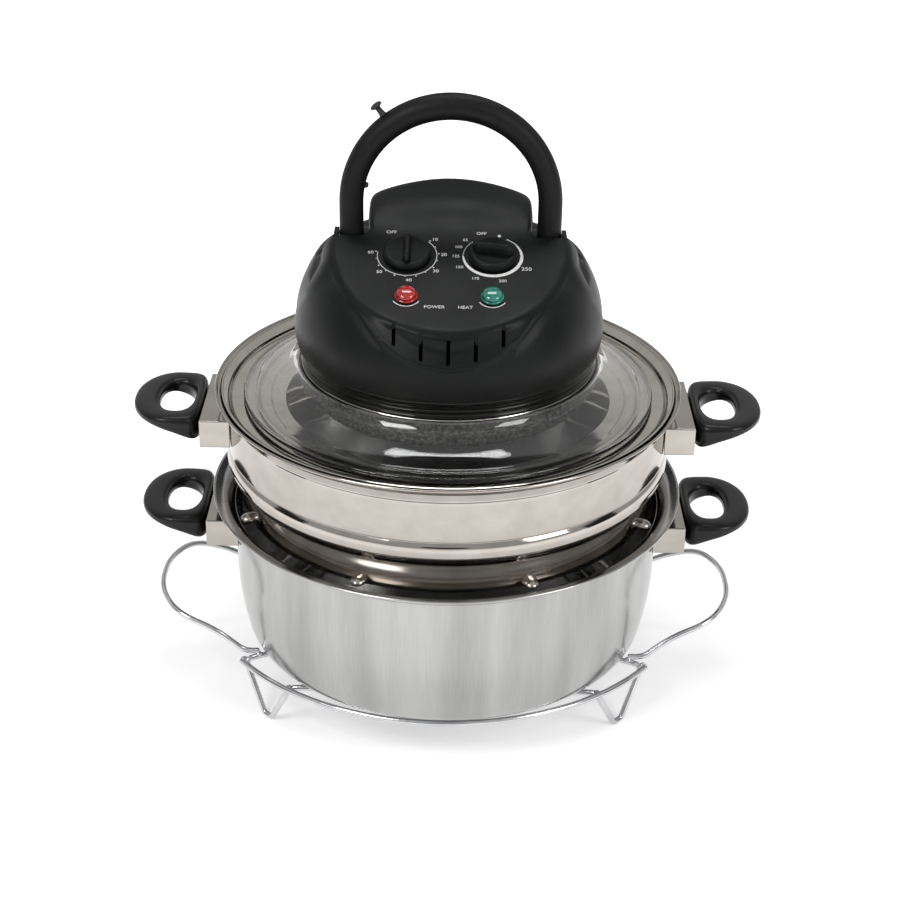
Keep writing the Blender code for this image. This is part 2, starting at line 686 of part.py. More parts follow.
def make_skirt(plastic):
    inner = SKIRT_RADIUS - SKIRT_FLANGE
    wall = SKIRT_RADIUS - SKIRT_WALL * 2
    outer = [
        (inner, SKIRT_BASE),
        (SKIRT_RADIUS, SKIRT_BASE),
        (SKIRT_RADIUS - SKIRT_WALL * 0.2, SKIRT_BASE + SKIRT_HEIGHT * 0.72),
        (SKIRT_RADIUS + SKIRT_WALL * 0.5, SKIRT_BASE + SKIRT_HEIGHT * 0.88),
        (SKIRT_RADIUS + SKIRT_WALL * 0.5, SKIRT_TOP),
        (SKIRT_RADIUS - SKIRT_WALL, SKIRT_TOP),
        (SKIRT_RADIUS - SKIRT_WALL, SKIRT_TOP + SKIRT_TUCK),
        (wall, SKIRT_TOP + SKIRT_TUCK),
        (wall, SKIRT_BASE + SKIRT_WALL),
        (inner, SKIRT_BASE + SKIRT_WALL),
    ]
    return solid("head_skirt", turned(outer), plastic)


def make_shield(steel):
    outer = SKIRT_RADIUS - SKIRT_WALL * 2 - CLEARANCE
    mesh = ring(SHAFT_RADIUS * 1.5, outer, SHIELD_BASE, SHIELD_TOP, SEGMENTS)
    return solid("heat_shield", mesh, steel)


def make_retainer(steel):
    """Ring under the skirt that reaches out below the glass neck and holds the glass."""
    outer = GLASS_NECK_RADIUS - GLASS_WALL / 2 - CLEARANCE * 2
    inner = outer - RETAINER_WALL
    top = SKIRT_BASE - CLEARANCE
    low = top - RETAINER_DEPTH
    outline = [
        (inner, low), (outer + RETAINER_FOOT, low), (outer + RETAINER_FOOT, low + RETAINER_WALL / 2),
        (outer, low + RETAINER_WALL), (outer, top), (inner, top),
    ]
    return solid("glass_retaining_ring", turned(outline), steel)


def make_guard(steel):
    outer = GLASS_NECK_RADIUS - GLASS_WALL / 2 - CLEARANCE * 3 - RETAINER_WALL
    top = SKIRT_BASE - CLEARANCE
    low = top - GUARD_DEPTH
    corner = GUARD_DEPTH * 0.12
    outline = [(outer, top), (outer, low + corner), (outer - corner, low), (0, low)]
    inner = [(0, low + GUARD_WALL), (outer - corner, low + GUARD_WALL),
             (outer - GUARD_WALL, low + corner), (outer - GUARD_WALL, top)]
    rim = outline[::-1] + inner[::-1]
    guard = solid("heater_guard", turned(rim, closed=False), steel)
    slots = bmesh.new()
    for count in range(GUARD_SLOT_COUNT):
        angle = math.tau * count / GUARD_SLOT_COUNT
        half = GUARD_SLOT_WIDTH / 2
        corners = (GUARD_SLOT_INNER, -half, low - OVERRUN), (GUARD_SLOT_OUTER, half, low + OVERRUN)
        made = add_box(slots, *corners)
        bmesh.ops.rotate(slots, cent=(0, 0, 0), matrix=Matrix.Rotation(angle, 3, "Z"), verts=made)
    combine(guard, solid("guard_slots", slots, steel), "DIFFERENCE")
    return guard


def stadium(radius):
    """Outline of the hump: straight at the front and round at the rear, under the folded bail."""
    points = [(-radius, -BAIL_LEG_HEIGHT), (radius, -BAIL_LEG_HEIGHT)]
    for step in range(HUMP_STEPS + 1):
        angle = math.pi * step / HUMP_STEPS
        points.append((radius * math.cos(angle), BAIL_LEG_HEIGHT + radius * math.sin(angle)))
    return points


def cover_form(name, inset, material):
    """The head cover's outer form, or with an inset the room inside it."""
    radius = COVER_RADIUS - inset
    lip_low = COVER_LIP - (OVERRUN if inset else 0)
    outline = [(0, lip_low), (radius - COVER_TUCK, lip_low), (radius - COVER_TUCK, COVER_LIP),
               (radius - COVER_TUCK * 0.35, COVER_LIP + COVER_WAIST * 0.5), (radius, COVER_WIDEST)]
    outline = outline if inset else outline[:1] + outline[2:]
    for share in COVER_DOME_SHARES:
        rise = COVER_RISE * (1 - share ** 2) ** COVER_POWER
        outline.append((radius * share, COVER_WIDEST + rise - inset))
    form = solid(name, turned(outline, closed=False), material)
    width = COVER_RADIUS * 1.5
    above = box((-width, -width, 0), (width, width, COVER_RISE))
    tool = solid(f"{name}_panel_cut", above, material, panel_point(0, 0, -inset), PANEL_TURN)
    combine(form, tool, "DIFFERENCE")
    deck = box((-width, DECK_FRONT - inset, DECK_HEIGHT - inset), (width, width, HUMP_TOP + COVER_RISE))
    deck_cut = solid(f"{name}_deck_cut", deck, material)
    island = bmesh.new()
    add_prism(island, stadium(HUMP_RADIUS - inset), DECK_HEIGHT - COVER_RISE, HUMP_TOP + COVER_RISE * 2)
    combine(deck_cut, solid(f"{name}_island", island, material), "DIFFERENCE")
    combine(form, deck_cut, "DIFFERENCE")
    combine(form, solid(f"{name}_hump", hump_mesh(inset), material), "UNION")
    return form


def hump_mesh(inset):
    """Raised rear hump: a stadium block with sloped front, rear and sides, inside the bail's sweep."""
    mesh = bmesh.new()
    low = DECK_HEIGHT - COVER_WALL * 2 - inset
    add_prism(mesh, stadium(HUMP_RADIUS - inset - CLEARANCE), low, HUMP_TOP - inset)
    front = Vector((0, HUMP_FRONT, panel_height(-HUMP_FRONT)))
    rear = Vector((0, HUMP_REAR_START, HUMP_TOP))
    front_normal = Vector((0, -1, 1)).normalized()
    rear_normal = Vector((0, math.sin(HUMP_REAR_PITCH), math.cos(HUMP_REAR_PITCH)))
    cuts = [(front, front_normal), (rear, rear_normal)]
    for side in (-1, 1):
        normal = Vector((side * math.sin(HUMP_SIDE_PITCH), 0, math.cos(HUMP_SIDE_PITCH)))
        cuts.append((Vector((side * HUMP_SIDE_START, 0, HUMP_TOP)), normal))
    for place, normal in cuts:
        cut = bmesh.ops.bisect_plane(
            mesh, geom=mesh.verts[:] + mesh.edges[:] + mesh.faces[:],
            plane_co=place - normal * inset, plane_no=normal, clear_outer=True,
        )
        edges = [item for item in cut["geom_cut"] if isinstance(item, bmesh.types.BMEdge)]
        bmesh.ops.contextual_create(mesh, geom=edges)
    return mesh


def make_cover(plastic):
    cover = cover_form("head_cover", 0, plastic)
    room = cover_form("cover_room", COVER_WALL, plastic)
    combine(cover, room, "DIFFERENCE")
    combine(cover, solid("cover_openings", cover_openings(), plastic), "DIFFERENCE")
    return cover


def cover_openings():
    """Holes for the stems and lenses, the front and rear vents, the pivot seats and the inlet."""
    mesh = bmesh.new()
    for reach, spread, radius in ((KNOB_REACH, KNOB_SPREAD, KNOB_STEM_RADIUS),
                                  (LENS_REACH, LENS_SPREAD, LENS_STEM_RADIUS)):
        for side in (-1, 1):
            place = Matrix.Translation(panel_point(side * spread, reach)) @ PANEL_TURN
            bmesh.ops.create_cone(
                mesh, cap_ends=True, segments=FINE_SEGMENTS, radius1=radius + CLEARANCE,
                radius2=radius + CLEARANCE, depth=OVERRUN * 3, matrix=place,
            )
    for count in range(VENT_COUNT):
        across = VENT_SPACING * (count - (VENT_COUNT - 1) / 2)
        edge = math.sqrt(COVER_RADIUS ** 2 - across ** 2)
        place = abs(count - VENT_COUNT // 2)
        low = (across - VENT_WIDTH / 2, -edge - OVERRUN, COVER_WIDEST + VENT_LOW_RISES[place])
        high = (across + VENT_WIDTH / 2, -edge + VENT_REACHES[place], PANEL_FRONT_HEIGHT + OVERRUN)
        add_box(mesh, low, high)
    for count in range(REAR_VENT_COUNT):
        across = REAR_VENT_SPACING * (count - (REAR_VENT_COUNT - 1) / 2)
        vent_top = COVER_WIDEST + REAR_VENT_RISE
        low = (across - REAR_VENT_WIDTH / 2, COVER_RADIUS * 0.75, vent_top - REAR_VENT_HEIGHT)
        high = (across + REAR_VENT_WIDTH / 2, COVER_RADIUS * 1.2, vent_top)
        add_box(mesh, low, high)
    half = BAIL_LEG_RADIUS + PIVOT_GAP + CLEVIS_WALL + CLEARANCE
    depth = CLEVIS_HALF_DEPTH + CLEARANCE
    seat = PIVOT_HEIGHT - CLEVIS_FLOOR - CLEVIS_BASE - CLEARANCE
    for side in (-1, 1):
        add_box(mesh, (side * BAIL_RADIUS - half, -depth, seat), (side * BAIL_RADIUS + half, depth, HUMP_TOP))
    wide, deep, tall = INLET_SIZE
    add_box(mesh, (-wide / 2 - CLEARANCE, COVER_RADIUS - deep / 2, COVER_WIDEST - tall / 2 - CLEARANCE),
            (wide / 2 + CLEARANCE, COVER_RADIUS + OVERRUN, COVER_WIDEST + tall / 2 + CLEARANCE))
    return mesh


def make_inlet(plastic):
    """Mains inlet in the rear of the cover, with its socket recess."""
    wide, deep, tall = INLET_SIZE
    back = COVER_RADIUS
    low = (-wide / 2, back - deep, COVER_WIDEST - tall / 2)
    inlet = solid("power_inlet", box(low, (wide / 2, back, COVER_WIDEST + tall / 2)), plastic)
    recess = box((-wide * 0.36, back - deep * 0.7, COVER_WIDEST - tall * 0.3),
                 (wide * 0.36, back + OVERRUN, COVER_WIDEST + tall * 0.3))
    combine(inlet, solid("inlet_recess", recess, plastic), "DIFFERENCE")
    return inlet


def make_clevis(side, name, plastic, steel):
    """Pivot seat with two ears beside the bail's leg, and the pin through them."""
    half = BAIL_LEG_RADIUS + PIVOT_GAP + CLEVIS_WALL
    floor = -CLEVIS_FLOOR
    mesh = box((-half, -CLEVIS_HALF_DEPTH, floor - CLEVIS_BASE), (half, CLEVIS_HALF_DEPTH, CLEVIS_TOP))
    top_edges = [
        edge for edge in mesh.edges
        if all(vert.co.z > 0 for vert in edge.verts)
        and abs(edge.verts[0].co.y - edge.verts[1].co.y) < CLEARANCE
    ]
    bmesh.ops.bevel(mesh, geom=top_edges, offset=CLEVIS_TOP * 0.8, segments=3, affect="EDGES", profile=0.5)
    place = (side * BAIL_RADIUS, 0, PIVOT_HEIGHT)
    clevis = solid(f"pivot_seat_{name}", mesh, plastic, place)
    gap = BAIL_LEG_RADIUS + PIVOT_GAP
    deep = CLEVIS_HALF_DEPTH + OVERRUN
    room = box((-gap, -deep, floor), (gap, deep, CLEVIS_TOP + OVERRUN))
    combine(clevis, solid(f"pivot_room_{name}", room, plastic, place), "DIFFERENCE")
    turn = Matrix.Rotation(math.pi / 2, 4, "Y")
    bore = rod(PIN_RADIUS + CLEARANCE, -half - OVERRUN, half + OVERRUN, SMALL_SEGMENTS)
    combine(clevis, solid(f"pivot_bore_{name}", bore, steel, place, turn), "DIFFERENCE")
    if side < 0:
        low = floor - CLEVIS_BASE - OVERRUN
        well = rod(PLUNGER_RADIUS + CLEARANCE, low, floor + OVERRUN, SMALL_SEGMENTS)
        combine(clevis, solid("plunger_bore", well, plastic, place), "DIFFERENCE")
    solid(f"pivot_pin_{name}", rod(PIN_RADIUS, -half, half, SMALL_SEGMENTS), steel, place, turn)
    return clevis


def make_switch(plastic, button):
    """Safety switch under the left pivot, and the plunger that the bail's rounded end presses."""
    wide, deep, tall = SWITCH_SIZE
    top = PIVOT_HEIGHT - BAIL_END_DROP - PIVOT_GAP
    seat = PIVOT_HEIGHT - CLEVIS_FLOOR - CLEVIS_BASE - CLEARANCE
    place = (-BAIL_RADIUS, 0, seat)
    casing = box((-wide / 2, -deep / 2, -tall), (wide / 2, deep / 2, 0))
    body = solid("handle_switch", casing, plastic, place)
    low = top - PLUNGER_LENGTH
    well = rod(PLUNGER_RADIUS + CLEARANCE, low - SWITCH_STROKE - PIVOT_GAP, seat + OVERRUN, SMALL_SEGMENTS)
    combine(body, solid("switch_well", well, plastic, (-BAIL_RADIUS, 0, 0)), "DIFFERENCE")
    plunger = rod(PLUNGER_RADIUS, low - top, 0, SMALL_SEGMENTS)
    return solid("switch_plunger", plunger, button, (-BAIL_RADIUS, 0, top))


def make_bail(plastic, rubber, steel):
    """Carrying bail: two legs and a round arch, about its pivot axis; the ends are rounded cams."""
    end = BAIL_END_DROP
    path, radii = [], []
    for share in BAIL_END_SHARES:
        path.append((-BAIL_RADIUS, 0, -end * share))
        radii.append(BAIL_LEG_RADIUS * max(math.sqrt(1 - share ** 2), 0.12))
    path.append((-BAIL_RADIUS, 0, 0))
    radii.append(BAIL_LEG_RADIUS)
    for step in range(BAIL_STEPS + 1):
        angle = math.pi - math.pi * step / BAIL_STEPS
        path.append((BAIL_RADIUS * math.cos(angle), 0, BAIL_LEG_HEIGHT + BAIL_RADIUS * math.sin(angle)))
        radii.append(BAIL_LEG_RADIUS + (BAIL_GRIP_RADIUS - BAIL_LEG_RADIUS) * math.sin(angle) ** 2)
    count = len(BAIL_END_SHARES) + 1
    path += [(-x, y, z) for x, y, z in path[:count][::-1]]
    radii += radii[:count][::-1]
    mesh = swept(path, radii, BAIL_SIDES, (0, 1, 0))
    bail = solid("bail_handle", mesh, plastic, (0, 0, PIVOT_HEIGHT))
    bore = rod(PIN_RADIUS + CLEARANCE, -BAIL_RADIUS * 2, BAIL_RADIUS * 2, SMALL_SEGMENTS)
    turn = Matrix.Rotation(math.pi / 2, 4, "Y")
    combine(bail, solid("bail_bore", bore, steel, (0, 0, PIVOT_HEIGHT), turn), "DIFFERENCE")
    arch_centre = PIVOT_HEIGHT + BAIL_LEG_HEIGHT
    grip = BAIL_LEG_RADIUS + (BAIL_GRIP_RADIUS - BAIL_LEG_RADIUS) * math.sin(PEG_ANGLE) ** 2
    outward = Vector((math.cos(PEG_ANGLE), 0, math.sin(PEG_ANGLE)))
    foot = Vector((0, 0, arch_centre)) + outward * (BAIL_RADIUS + grip + CLEARANCE)
    peg_turn = Vector((0, 0, 1)).rotation_difference(outward).to_matrix().to_4x4()
    peg = [(0, 0), (PEG_RADIUS, 0), (PEG_RADIUS, PEG_HEIGHT), (PEG_HEAD_RADIUS, PEG_HEIGHT),
           (PEG_HEAD_RADIUS, PEG_HEIGHT + PEG_HEAD_HEIGHT * 0.5), (0, PEG_HEIGHT + PEG_HEAD_HEIGHT)]
    solid("bail_peg", turned(peg, WIRE_SIDES, closed=False), rubber, foot, peg_turn)
    nub = [(0, 0), (NUB_RADIUS, 0), (NUB_RADIUS, NUB_HEIGHT * 0.7), (0, NUB_HEIGHT)]
    angle = math.asin((NUB_RISE - BAIL_LEG_HEIGHT) / BAIL_RADIUS)
    inward = Vector((math.cos(angle), 0, -math.sin(angle)))
    grip = BAIL_LEG_RADIUS + (BAIL_GRIP_RADIUS - BAIL_LEG_RADIUS) * math.sin(angle) ** 2
    foot = Vector((0, 0, arch_centre)) - inward * (BAIL_RADIUS - grip - CLEARANCE)
    nub_turn = Vector((0, 0, 1)).rotation_difference(inward).to_matrix().to_4x4()
    solid("bail_nub", turned(nub, WIRE_SIDES, closed=False), rubber, foot, nub_turn)
    return bail


def make_knob(name, side, plastic):
    """Round control knob with a grip bar and a stem through the panel."""
    outline = [
        (0, -KNOB_STEM_DEPTH), (KNOB_STEM_RADIUS, -KNOB_STEM_DEPTH), (KNOB_STEM_RADIUS, 0),
        (KNOB_RADIUS, 0), (KNOB_RADIUS, KNOB_HEIGHT * 0.45), (KNOB_RADIUS * 0.93, KNOB_HEIGHT * 0.85),
        (KNOB_RADIUS * 0.8, KNOB_HEIGHT), (0, KNOB_HEIGHT),
    ]
    place = panel_point(side * KNOB_SPREAD, KNOB_REACH, KNOB_LIFT)
    knob = solid(name, turned(outline, FINE_SEGMENTS, closed=False), plastic, place, PANEL_TURN)
    half = KNOB_GRIP_WIDTH / 2
    reach = KNOB_RADIUS * 0.86
    grip = box((-half, -reach, KNOB_HEIGHT * 0.4), (half, reach, KNOB_HEIGHT + KNOB_GRIP_HEIGHT))
    for vert in grip.verts:
        if vert.co.z > KNOB_HEIGHT:
            vert.co.x *= 0.6
            vert.co.y *= 0.94
    combine(knob, solid(f"{name}_grip", grip, plastic, place, PANEL_TURN), "UNION")
    return knob


def make_controls(plastic, dark, red, green, steel):
    make_knob("timer_knob", -1, plastic)
    make_knob("thermostat_knob", 1, plastic)
    lens = [
        (0, -LENS_STEM_DEPTH), (LENS_STEM_RADIUS, -LENS_STEM_DEPTH), (LENS_STEM_RADIUS, 0), (LENS_RADIUS, 0),
        (LENS_RADIUS * 0.95, LENS_HEIGHT * 0.45), (LENS_RADIUS * 0.7, LENS_HEIGHT * 0.82),
        (LENS_RADIUS * 0.36, LENS_HEIGHT * 0.97), (0, LENS_HEIGHT),
    ]
    for name, side, material in (("power_lens", -1, red), ("heat_lens", 1, green)):
        place = panel_point(side * LENS_SPREAD, LENS_REACH, CLEARANCE)
        solid(name, turned(lens, FINE_SEGMENTS, closed=False), material, place, PANEL_TURN)
    below = COVER_WALL + CLEARANCE
    socket = KNOB_STEM_DEPTH - KNOB_LIFT + CLEARANCE
    half = TIMER_SIDE / 2
    place = panel_point(-KNOB_SPREAD, KNOB_REACH)
    casing = box((-half, -half, -below - TIMER_DEPTH), (half, half, -below))
    timer = solid("timer_body", casing, dark, place, PANEL_TURN)
    thermostat_mesh = rod(THERMOSTAT_RADIUS, -below - THERMOSTAT_DEPTH, -below)
    other = panel_point(KNOB_SPREAD, KNOB_REACH)
    thermostat = solid("thermostat_body", thermostat_mesh, steel, other, PANEL_TURN)
    for body, spot in ((timer, place), (thermostat, other)):
        hole = rod(KNOB_STEM_RADIUS + CLEARANCE, -socket, OVERRUN)
        combine(body, solid(f"{body.name}_socket", hole, dark, spot, PANEL_TURN), "DIFFERENCE")


def make_heater(quartz, ceramic):
    height = SHIELD_BASE - LAMP_DROP
    wide, deep, tall = HOLDER_SIZE
    edge = HOLDER_GAP / 2 + wide + CLEARANCE + LAMP_TUBE_RADIUS * 0.45
    opening = math.asin(edge / LAMP_RING_RADIUS)
    points = []
    for step in range(LAMP_STEPS + 1):
        angle = math.pi / 2 + opening + (math.tau - 2 * opening) * step / LAMP_STEPS
        points.append((LAMP_RING_RADIUS * math.cos(angle), LAMP_RING_RADIUS * math.sin(angle), height))
    mesh = swept(points, [LAMP_TUBE_RADIUS] * len(points), LAMP_SIDES, (0, 0, 1))
    solid("halogen_lamp", mesh, quartz)
    top = SHIELD_BASE - CLEARANCE
    for name, side in (("left", -1), ("right", 1)):
        near = side * HOLDER_GAP / 2
        far = side * (HOLDER_GAP / 2 + wide)
        low = (min(near, far), LAMP_RING_RADIUS - deep / 2, top - tall)
        high = (max(near, far), LAMP_RING_RADIUS + deep / 2, top)
        solid(f"lamp_holder_{name}", box(low, high), ceramic)


def make_fan(name, low, material):
    """Hub ring on the shaft with flat radial blades."""
    hub_inner = SHAFT_RADIUS + CLEARANCE
    fan = solid(name, ring(hub_inner, FAN_HUB_RADIUS, low, low + FAN_BLADE_HEIGHT), material)
    blades = bmesh.new()
    half = FAN_BLADE_WIDTH / 2
    for count in range(FAN_BLADE_COUNT):
        made = add_box(blades, (FAN_HUB_RADIUS * 0.8, -half, low + FAN_BLADE_HEIGHT * 0.1),
                       (FAN_RADIUS, half, low + FAN_BLADE_HEIGHT * 0.9))
        turn = Matrix.Rotation(math.tau * (count + 0.5) / FAN_BLADE_COUNT, 3, "Z")
        bmesh.ops.rotate(blades, cent=(0, 0, 0), matrix=turn, verts=made)
    combine(fan, solid(f"{name}_blades", blades, material), "UNION")
    return fan


def make_drive(steel, dark, zinc):
    make_fan("convection_fan", SHIELD_BASE - FAN_GAP - FAN_BLADE_HEIGHT, steel)
    make_fan("cooling_fan", SHIELD_TOP + FAN_GAP, dark)
    shaft = rod(SHAFT_RADIUS, SHIELD_BASE - SHAFT_BOTTOM_DROP, SHIELD_TOP + SHAFT_TOP_RISE)
    solid("fan_shaft", shaft, steel)
    plate_top = SHIELD_TOP + CLEARANCE + BRACKET_HEIGHT
    half = BRACKET_DEPTH / 2
    mesh = box((-BRACKET_HALF, -half, SHIELD_TOP + CLEARANCE), (BRACKET_HALF, half, plate_top))
    bracket = solid("motor_bracket", mesh, zinc)
    room = box((BRACKET_WALL - BRACKET_HALF, -half - OVERRUN, SHIELD_TOP - OVERRUN),
               (BRACKET_HALF - BRACKET_WALL, half + OVERRUN, plate_top - BRACKET_WALL))
    combine(bracket, solid("bracket_room", room, zinc), "DIFFERENCE")
    hole = rod(SHAFT_RADIUS * 1.5, plate_top - BRACKET_WALL - OVERRUN, plate_top + OVERRUN)
    combine(bracket, solid("bracket_hole", hole, zinc), "DIFFERENCE")
    low = plate_top + CLEARANCE
    corner = MOTOR_RADIUS * 0.12
    bore = SHAFT_RADIUS + CLEARANCE
    outline = [
        (bore, low), (MOTOR_RADIUS - corner, low), (MOTOR_RADIUS, low + corner),
        (MOTOR_RADIUS, low + MOTOR_HEIGHT - corner), (MOTOR_RADIUS - corner, low + MOTOR_HEIGHT),
        (bore, low + MOTOR_HEIGHT),
    ]
    solid("fan_motor", turned(outline, FINE_SEGMENTS), zinc)


def build():
    clear_scene()
    chrome = finish("chrome_wire", (0.75, 0.75, 0.76), 0.12, 1.0)
    satin = finish("satin_steel", (0.72, 0.71, 0.70), 0.28, 1.0)
    polished = finish("polished_steel", (0.78, 0.76, 0.74), 0.16, 1.0)
    inner_steel = finish("plated_steel", (0.55, 0.55, 0.56), 0.35, 1.0)
    bakelite = finish("bakelite", (0.018, 0.019, 0.018), 0.38)
    matte = finish("matte_black", (0.014, 0.015, 0.014), 0.48)
    gloss = finish("gloss_black", (0.006, 0.006, 0.006), 0.08)
    glass = finish("clear_glass", (0.92, 0.96, 0.95), 0.03, alpha=0.3)
    red = finish("red_lens", (0.45, 0.01, 0.01), 0.15)
    green = finish("green_lens", (0.0, 0.22, 0.16), 0.15)
    quartz = finish("quartz", (0.85, 0.85, 0.82), 0.1)
    ceramic = finish("ceramic", (0.85, 0.83, 0.78), 0.55)
    rubber = finish("rubber", (0.02, 0.02, 0.02), 0.7)
    make_stand(chrome)
    make_pot(satin)
    pot_root = POT_RIM_RADIUS + POT_HANDLE_GAP
    make_tier_fittings("lower_pot", POT_TOP, POT_RADIUS, pot_root, bakelite, polished)
    make_upper_ring(polished)
    ring_root = RING_RIM_RADIUS + RING_HANDLE_GAP
    make_tier_fittings("upper_ring", RING_TOP, RING_RADIUS, ring_root, bakelite, polished)
    make_adapter(polished)
    make_glass(glass)
    make_skirt(gloss)
    make_shield(inner_steel)
    make_retainer(inner_steel)
    make_guard(inner_steel)
    make_cover(matte)
    make_inlet(gloss)
    make_clevis(-1, "left", matte, inner_steel)
    make_clevis(1, "right", matte, inner_steel)
    make_switch(gloss, red)
    make_bail(matte, rubber, inner_steel)
    make_controls(matte, gloss, red, green, inner_steel)
    make_heater(quartz, ceramic)
    make_drive(inner_steel, matte, inner_steel)


build()
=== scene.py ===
"""Looks of the halogen oven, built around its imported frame.

Lengths are in metres, +Z is up, the front faces -Y, and the origin is on the ground under the
oven's axis. Heights and radii come from the frame's boxes; each piece has its own function.
"""

import math

import bmesh
import bpy
import numpy as np
from mathutils import Matrix, Vector


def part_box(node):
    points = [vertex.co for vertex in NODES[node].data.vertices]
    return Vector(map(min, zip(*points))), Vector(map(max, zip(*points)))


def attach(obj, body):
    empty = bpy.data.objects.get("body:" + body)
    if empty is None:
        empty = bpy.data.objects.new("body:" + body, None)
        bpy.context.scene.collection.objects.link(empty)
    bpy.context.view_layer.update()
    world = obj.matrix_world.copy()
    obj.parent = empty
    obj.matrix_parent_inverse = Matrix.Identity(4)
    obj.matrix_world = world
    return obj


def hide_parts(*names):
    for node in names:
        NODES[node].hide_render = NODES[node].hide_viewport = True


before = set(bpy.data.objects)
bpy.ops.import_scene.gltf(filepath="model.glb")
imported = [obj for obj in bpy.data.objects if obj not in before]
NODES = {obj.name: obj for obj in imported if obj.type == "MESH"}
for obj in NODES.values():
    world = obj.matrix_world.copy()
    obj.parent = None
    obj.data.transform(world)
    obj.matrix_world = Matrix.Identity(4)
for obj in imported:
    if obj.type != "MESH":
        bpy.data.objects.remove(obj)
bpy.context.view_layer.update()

# Sizes read from the frame
POT_LOW, POT_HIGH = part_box("lower_pot")
RING_LOW, RING_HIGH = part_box("upper_ring")
ADAPTER_LOW, ADAPTER_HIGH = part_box("adapter_ring")
GLASS_LOW, GLASS_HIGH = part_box("glass_lid")
SKIRT_LOW, SKIRT_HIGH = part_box("head_skirt")
COVER_LOW, COVER_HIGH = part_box("head_cover")
GUARD_LOW, GUARD_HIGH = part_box("heater_guard")
RETAINER_LOW, RETAINER_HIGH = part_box("glass_retaining_ring")
BAIL_LOW, BAIL_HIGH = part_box("bail_handle")
CLEARANCE = 0.0003
TURN_STEPS = 192
SHARP_ANGLE = 38
CAP_SHARE = 0.35

# Camera of the photograph
CAMERA_LENS = 72.0
CAMERA_PLACE = (0.0024, -1.292, 0.8725)
CAMERA_PITCH = math.radians(62.5)
CAMERA_ROLL = math.radians(0.95)
VIEW_PITCH = math.radians(27.5)

# Head cover, as the frame's solid has it
COVER_RADIUS = COVER_HIGH.x
COVER_LIP = COVER_LOW.z
COVER_WALL = 0.0025
COVER_WAIST = 0.0195
COVER_TUCK = 0.0024
COVER_WIDEST = COVER_LIP + COVER_WAIST
COVER_RISE = 0.1070
COVER_POWER = 0.6
PANEL_PITCH = math.radians(20)
PANEL_FRONT_REACH = COVER_RADIUS - 0.0082
PANEL_FRONT_HEIGHT = COVER_WIDEST + 0.0330
DECK_HEIGHT = COVER_WIDEST + 0.0505
DECK_FRONT = -0.0040
HUMP_FRONT = 0.0100
HUMP_TOP = COVER_WIDEST + 0.0895
HUMP_REAR_PITCH = math.radians(34)
HUMP_REAR_START = 0.0420
HUMP_SIDE_START = 0.0300
HUMP_SIDE_PITCH = math.radians(14)
HUMP_RADIUS = 0.0612
PIVOT_HEIGHT = COVER_WIDEST + 0.0620
BAIL_LEG_HEIGHT = 0.0295
PANEL_NORMAL = Vector((0, -math.sin(PANEL_PITCH), math.cos(PANEL_PITCH)))
PANEL_TURN = Matrix.Rotation(PANEL_PITCH, 4, "X")

# Controls on the panel
KNOB_SPREAD = 0.0320
KNOB_REACH = 0.0330
LENS_SPREAD = 0.0315
LENS_REACH = 0.0750
VENT_SPACING = 0.0198
VENT_WIDTH = 0.0028
VENT_COUNT = 5
VENT_REACHES = (0.0092, 0.0096, 0.0140)
VENT_LOW_RISES = (0.0112, 0.0135, 0.0219)
REAR_VENT_SPACING = 0.0110
REAR_VENT_COUNT = 7


def add_node(tree, kind, inputs=None, **settings):
    """Add a shader node, link the sockets given to it and set its other values."""
    made = tree.nodes.new("ShaderNode" + kind)
    for name, value in settings.items():
        setattr(made, name, value)
    for socket, value in (inputs or {}).items():
        if isinstance(value, bpy.types.NodeSocket):
            tree.links.new(value, made.inputs[socket])
        else:
            made.inputs[socket].default_value = value
    return made


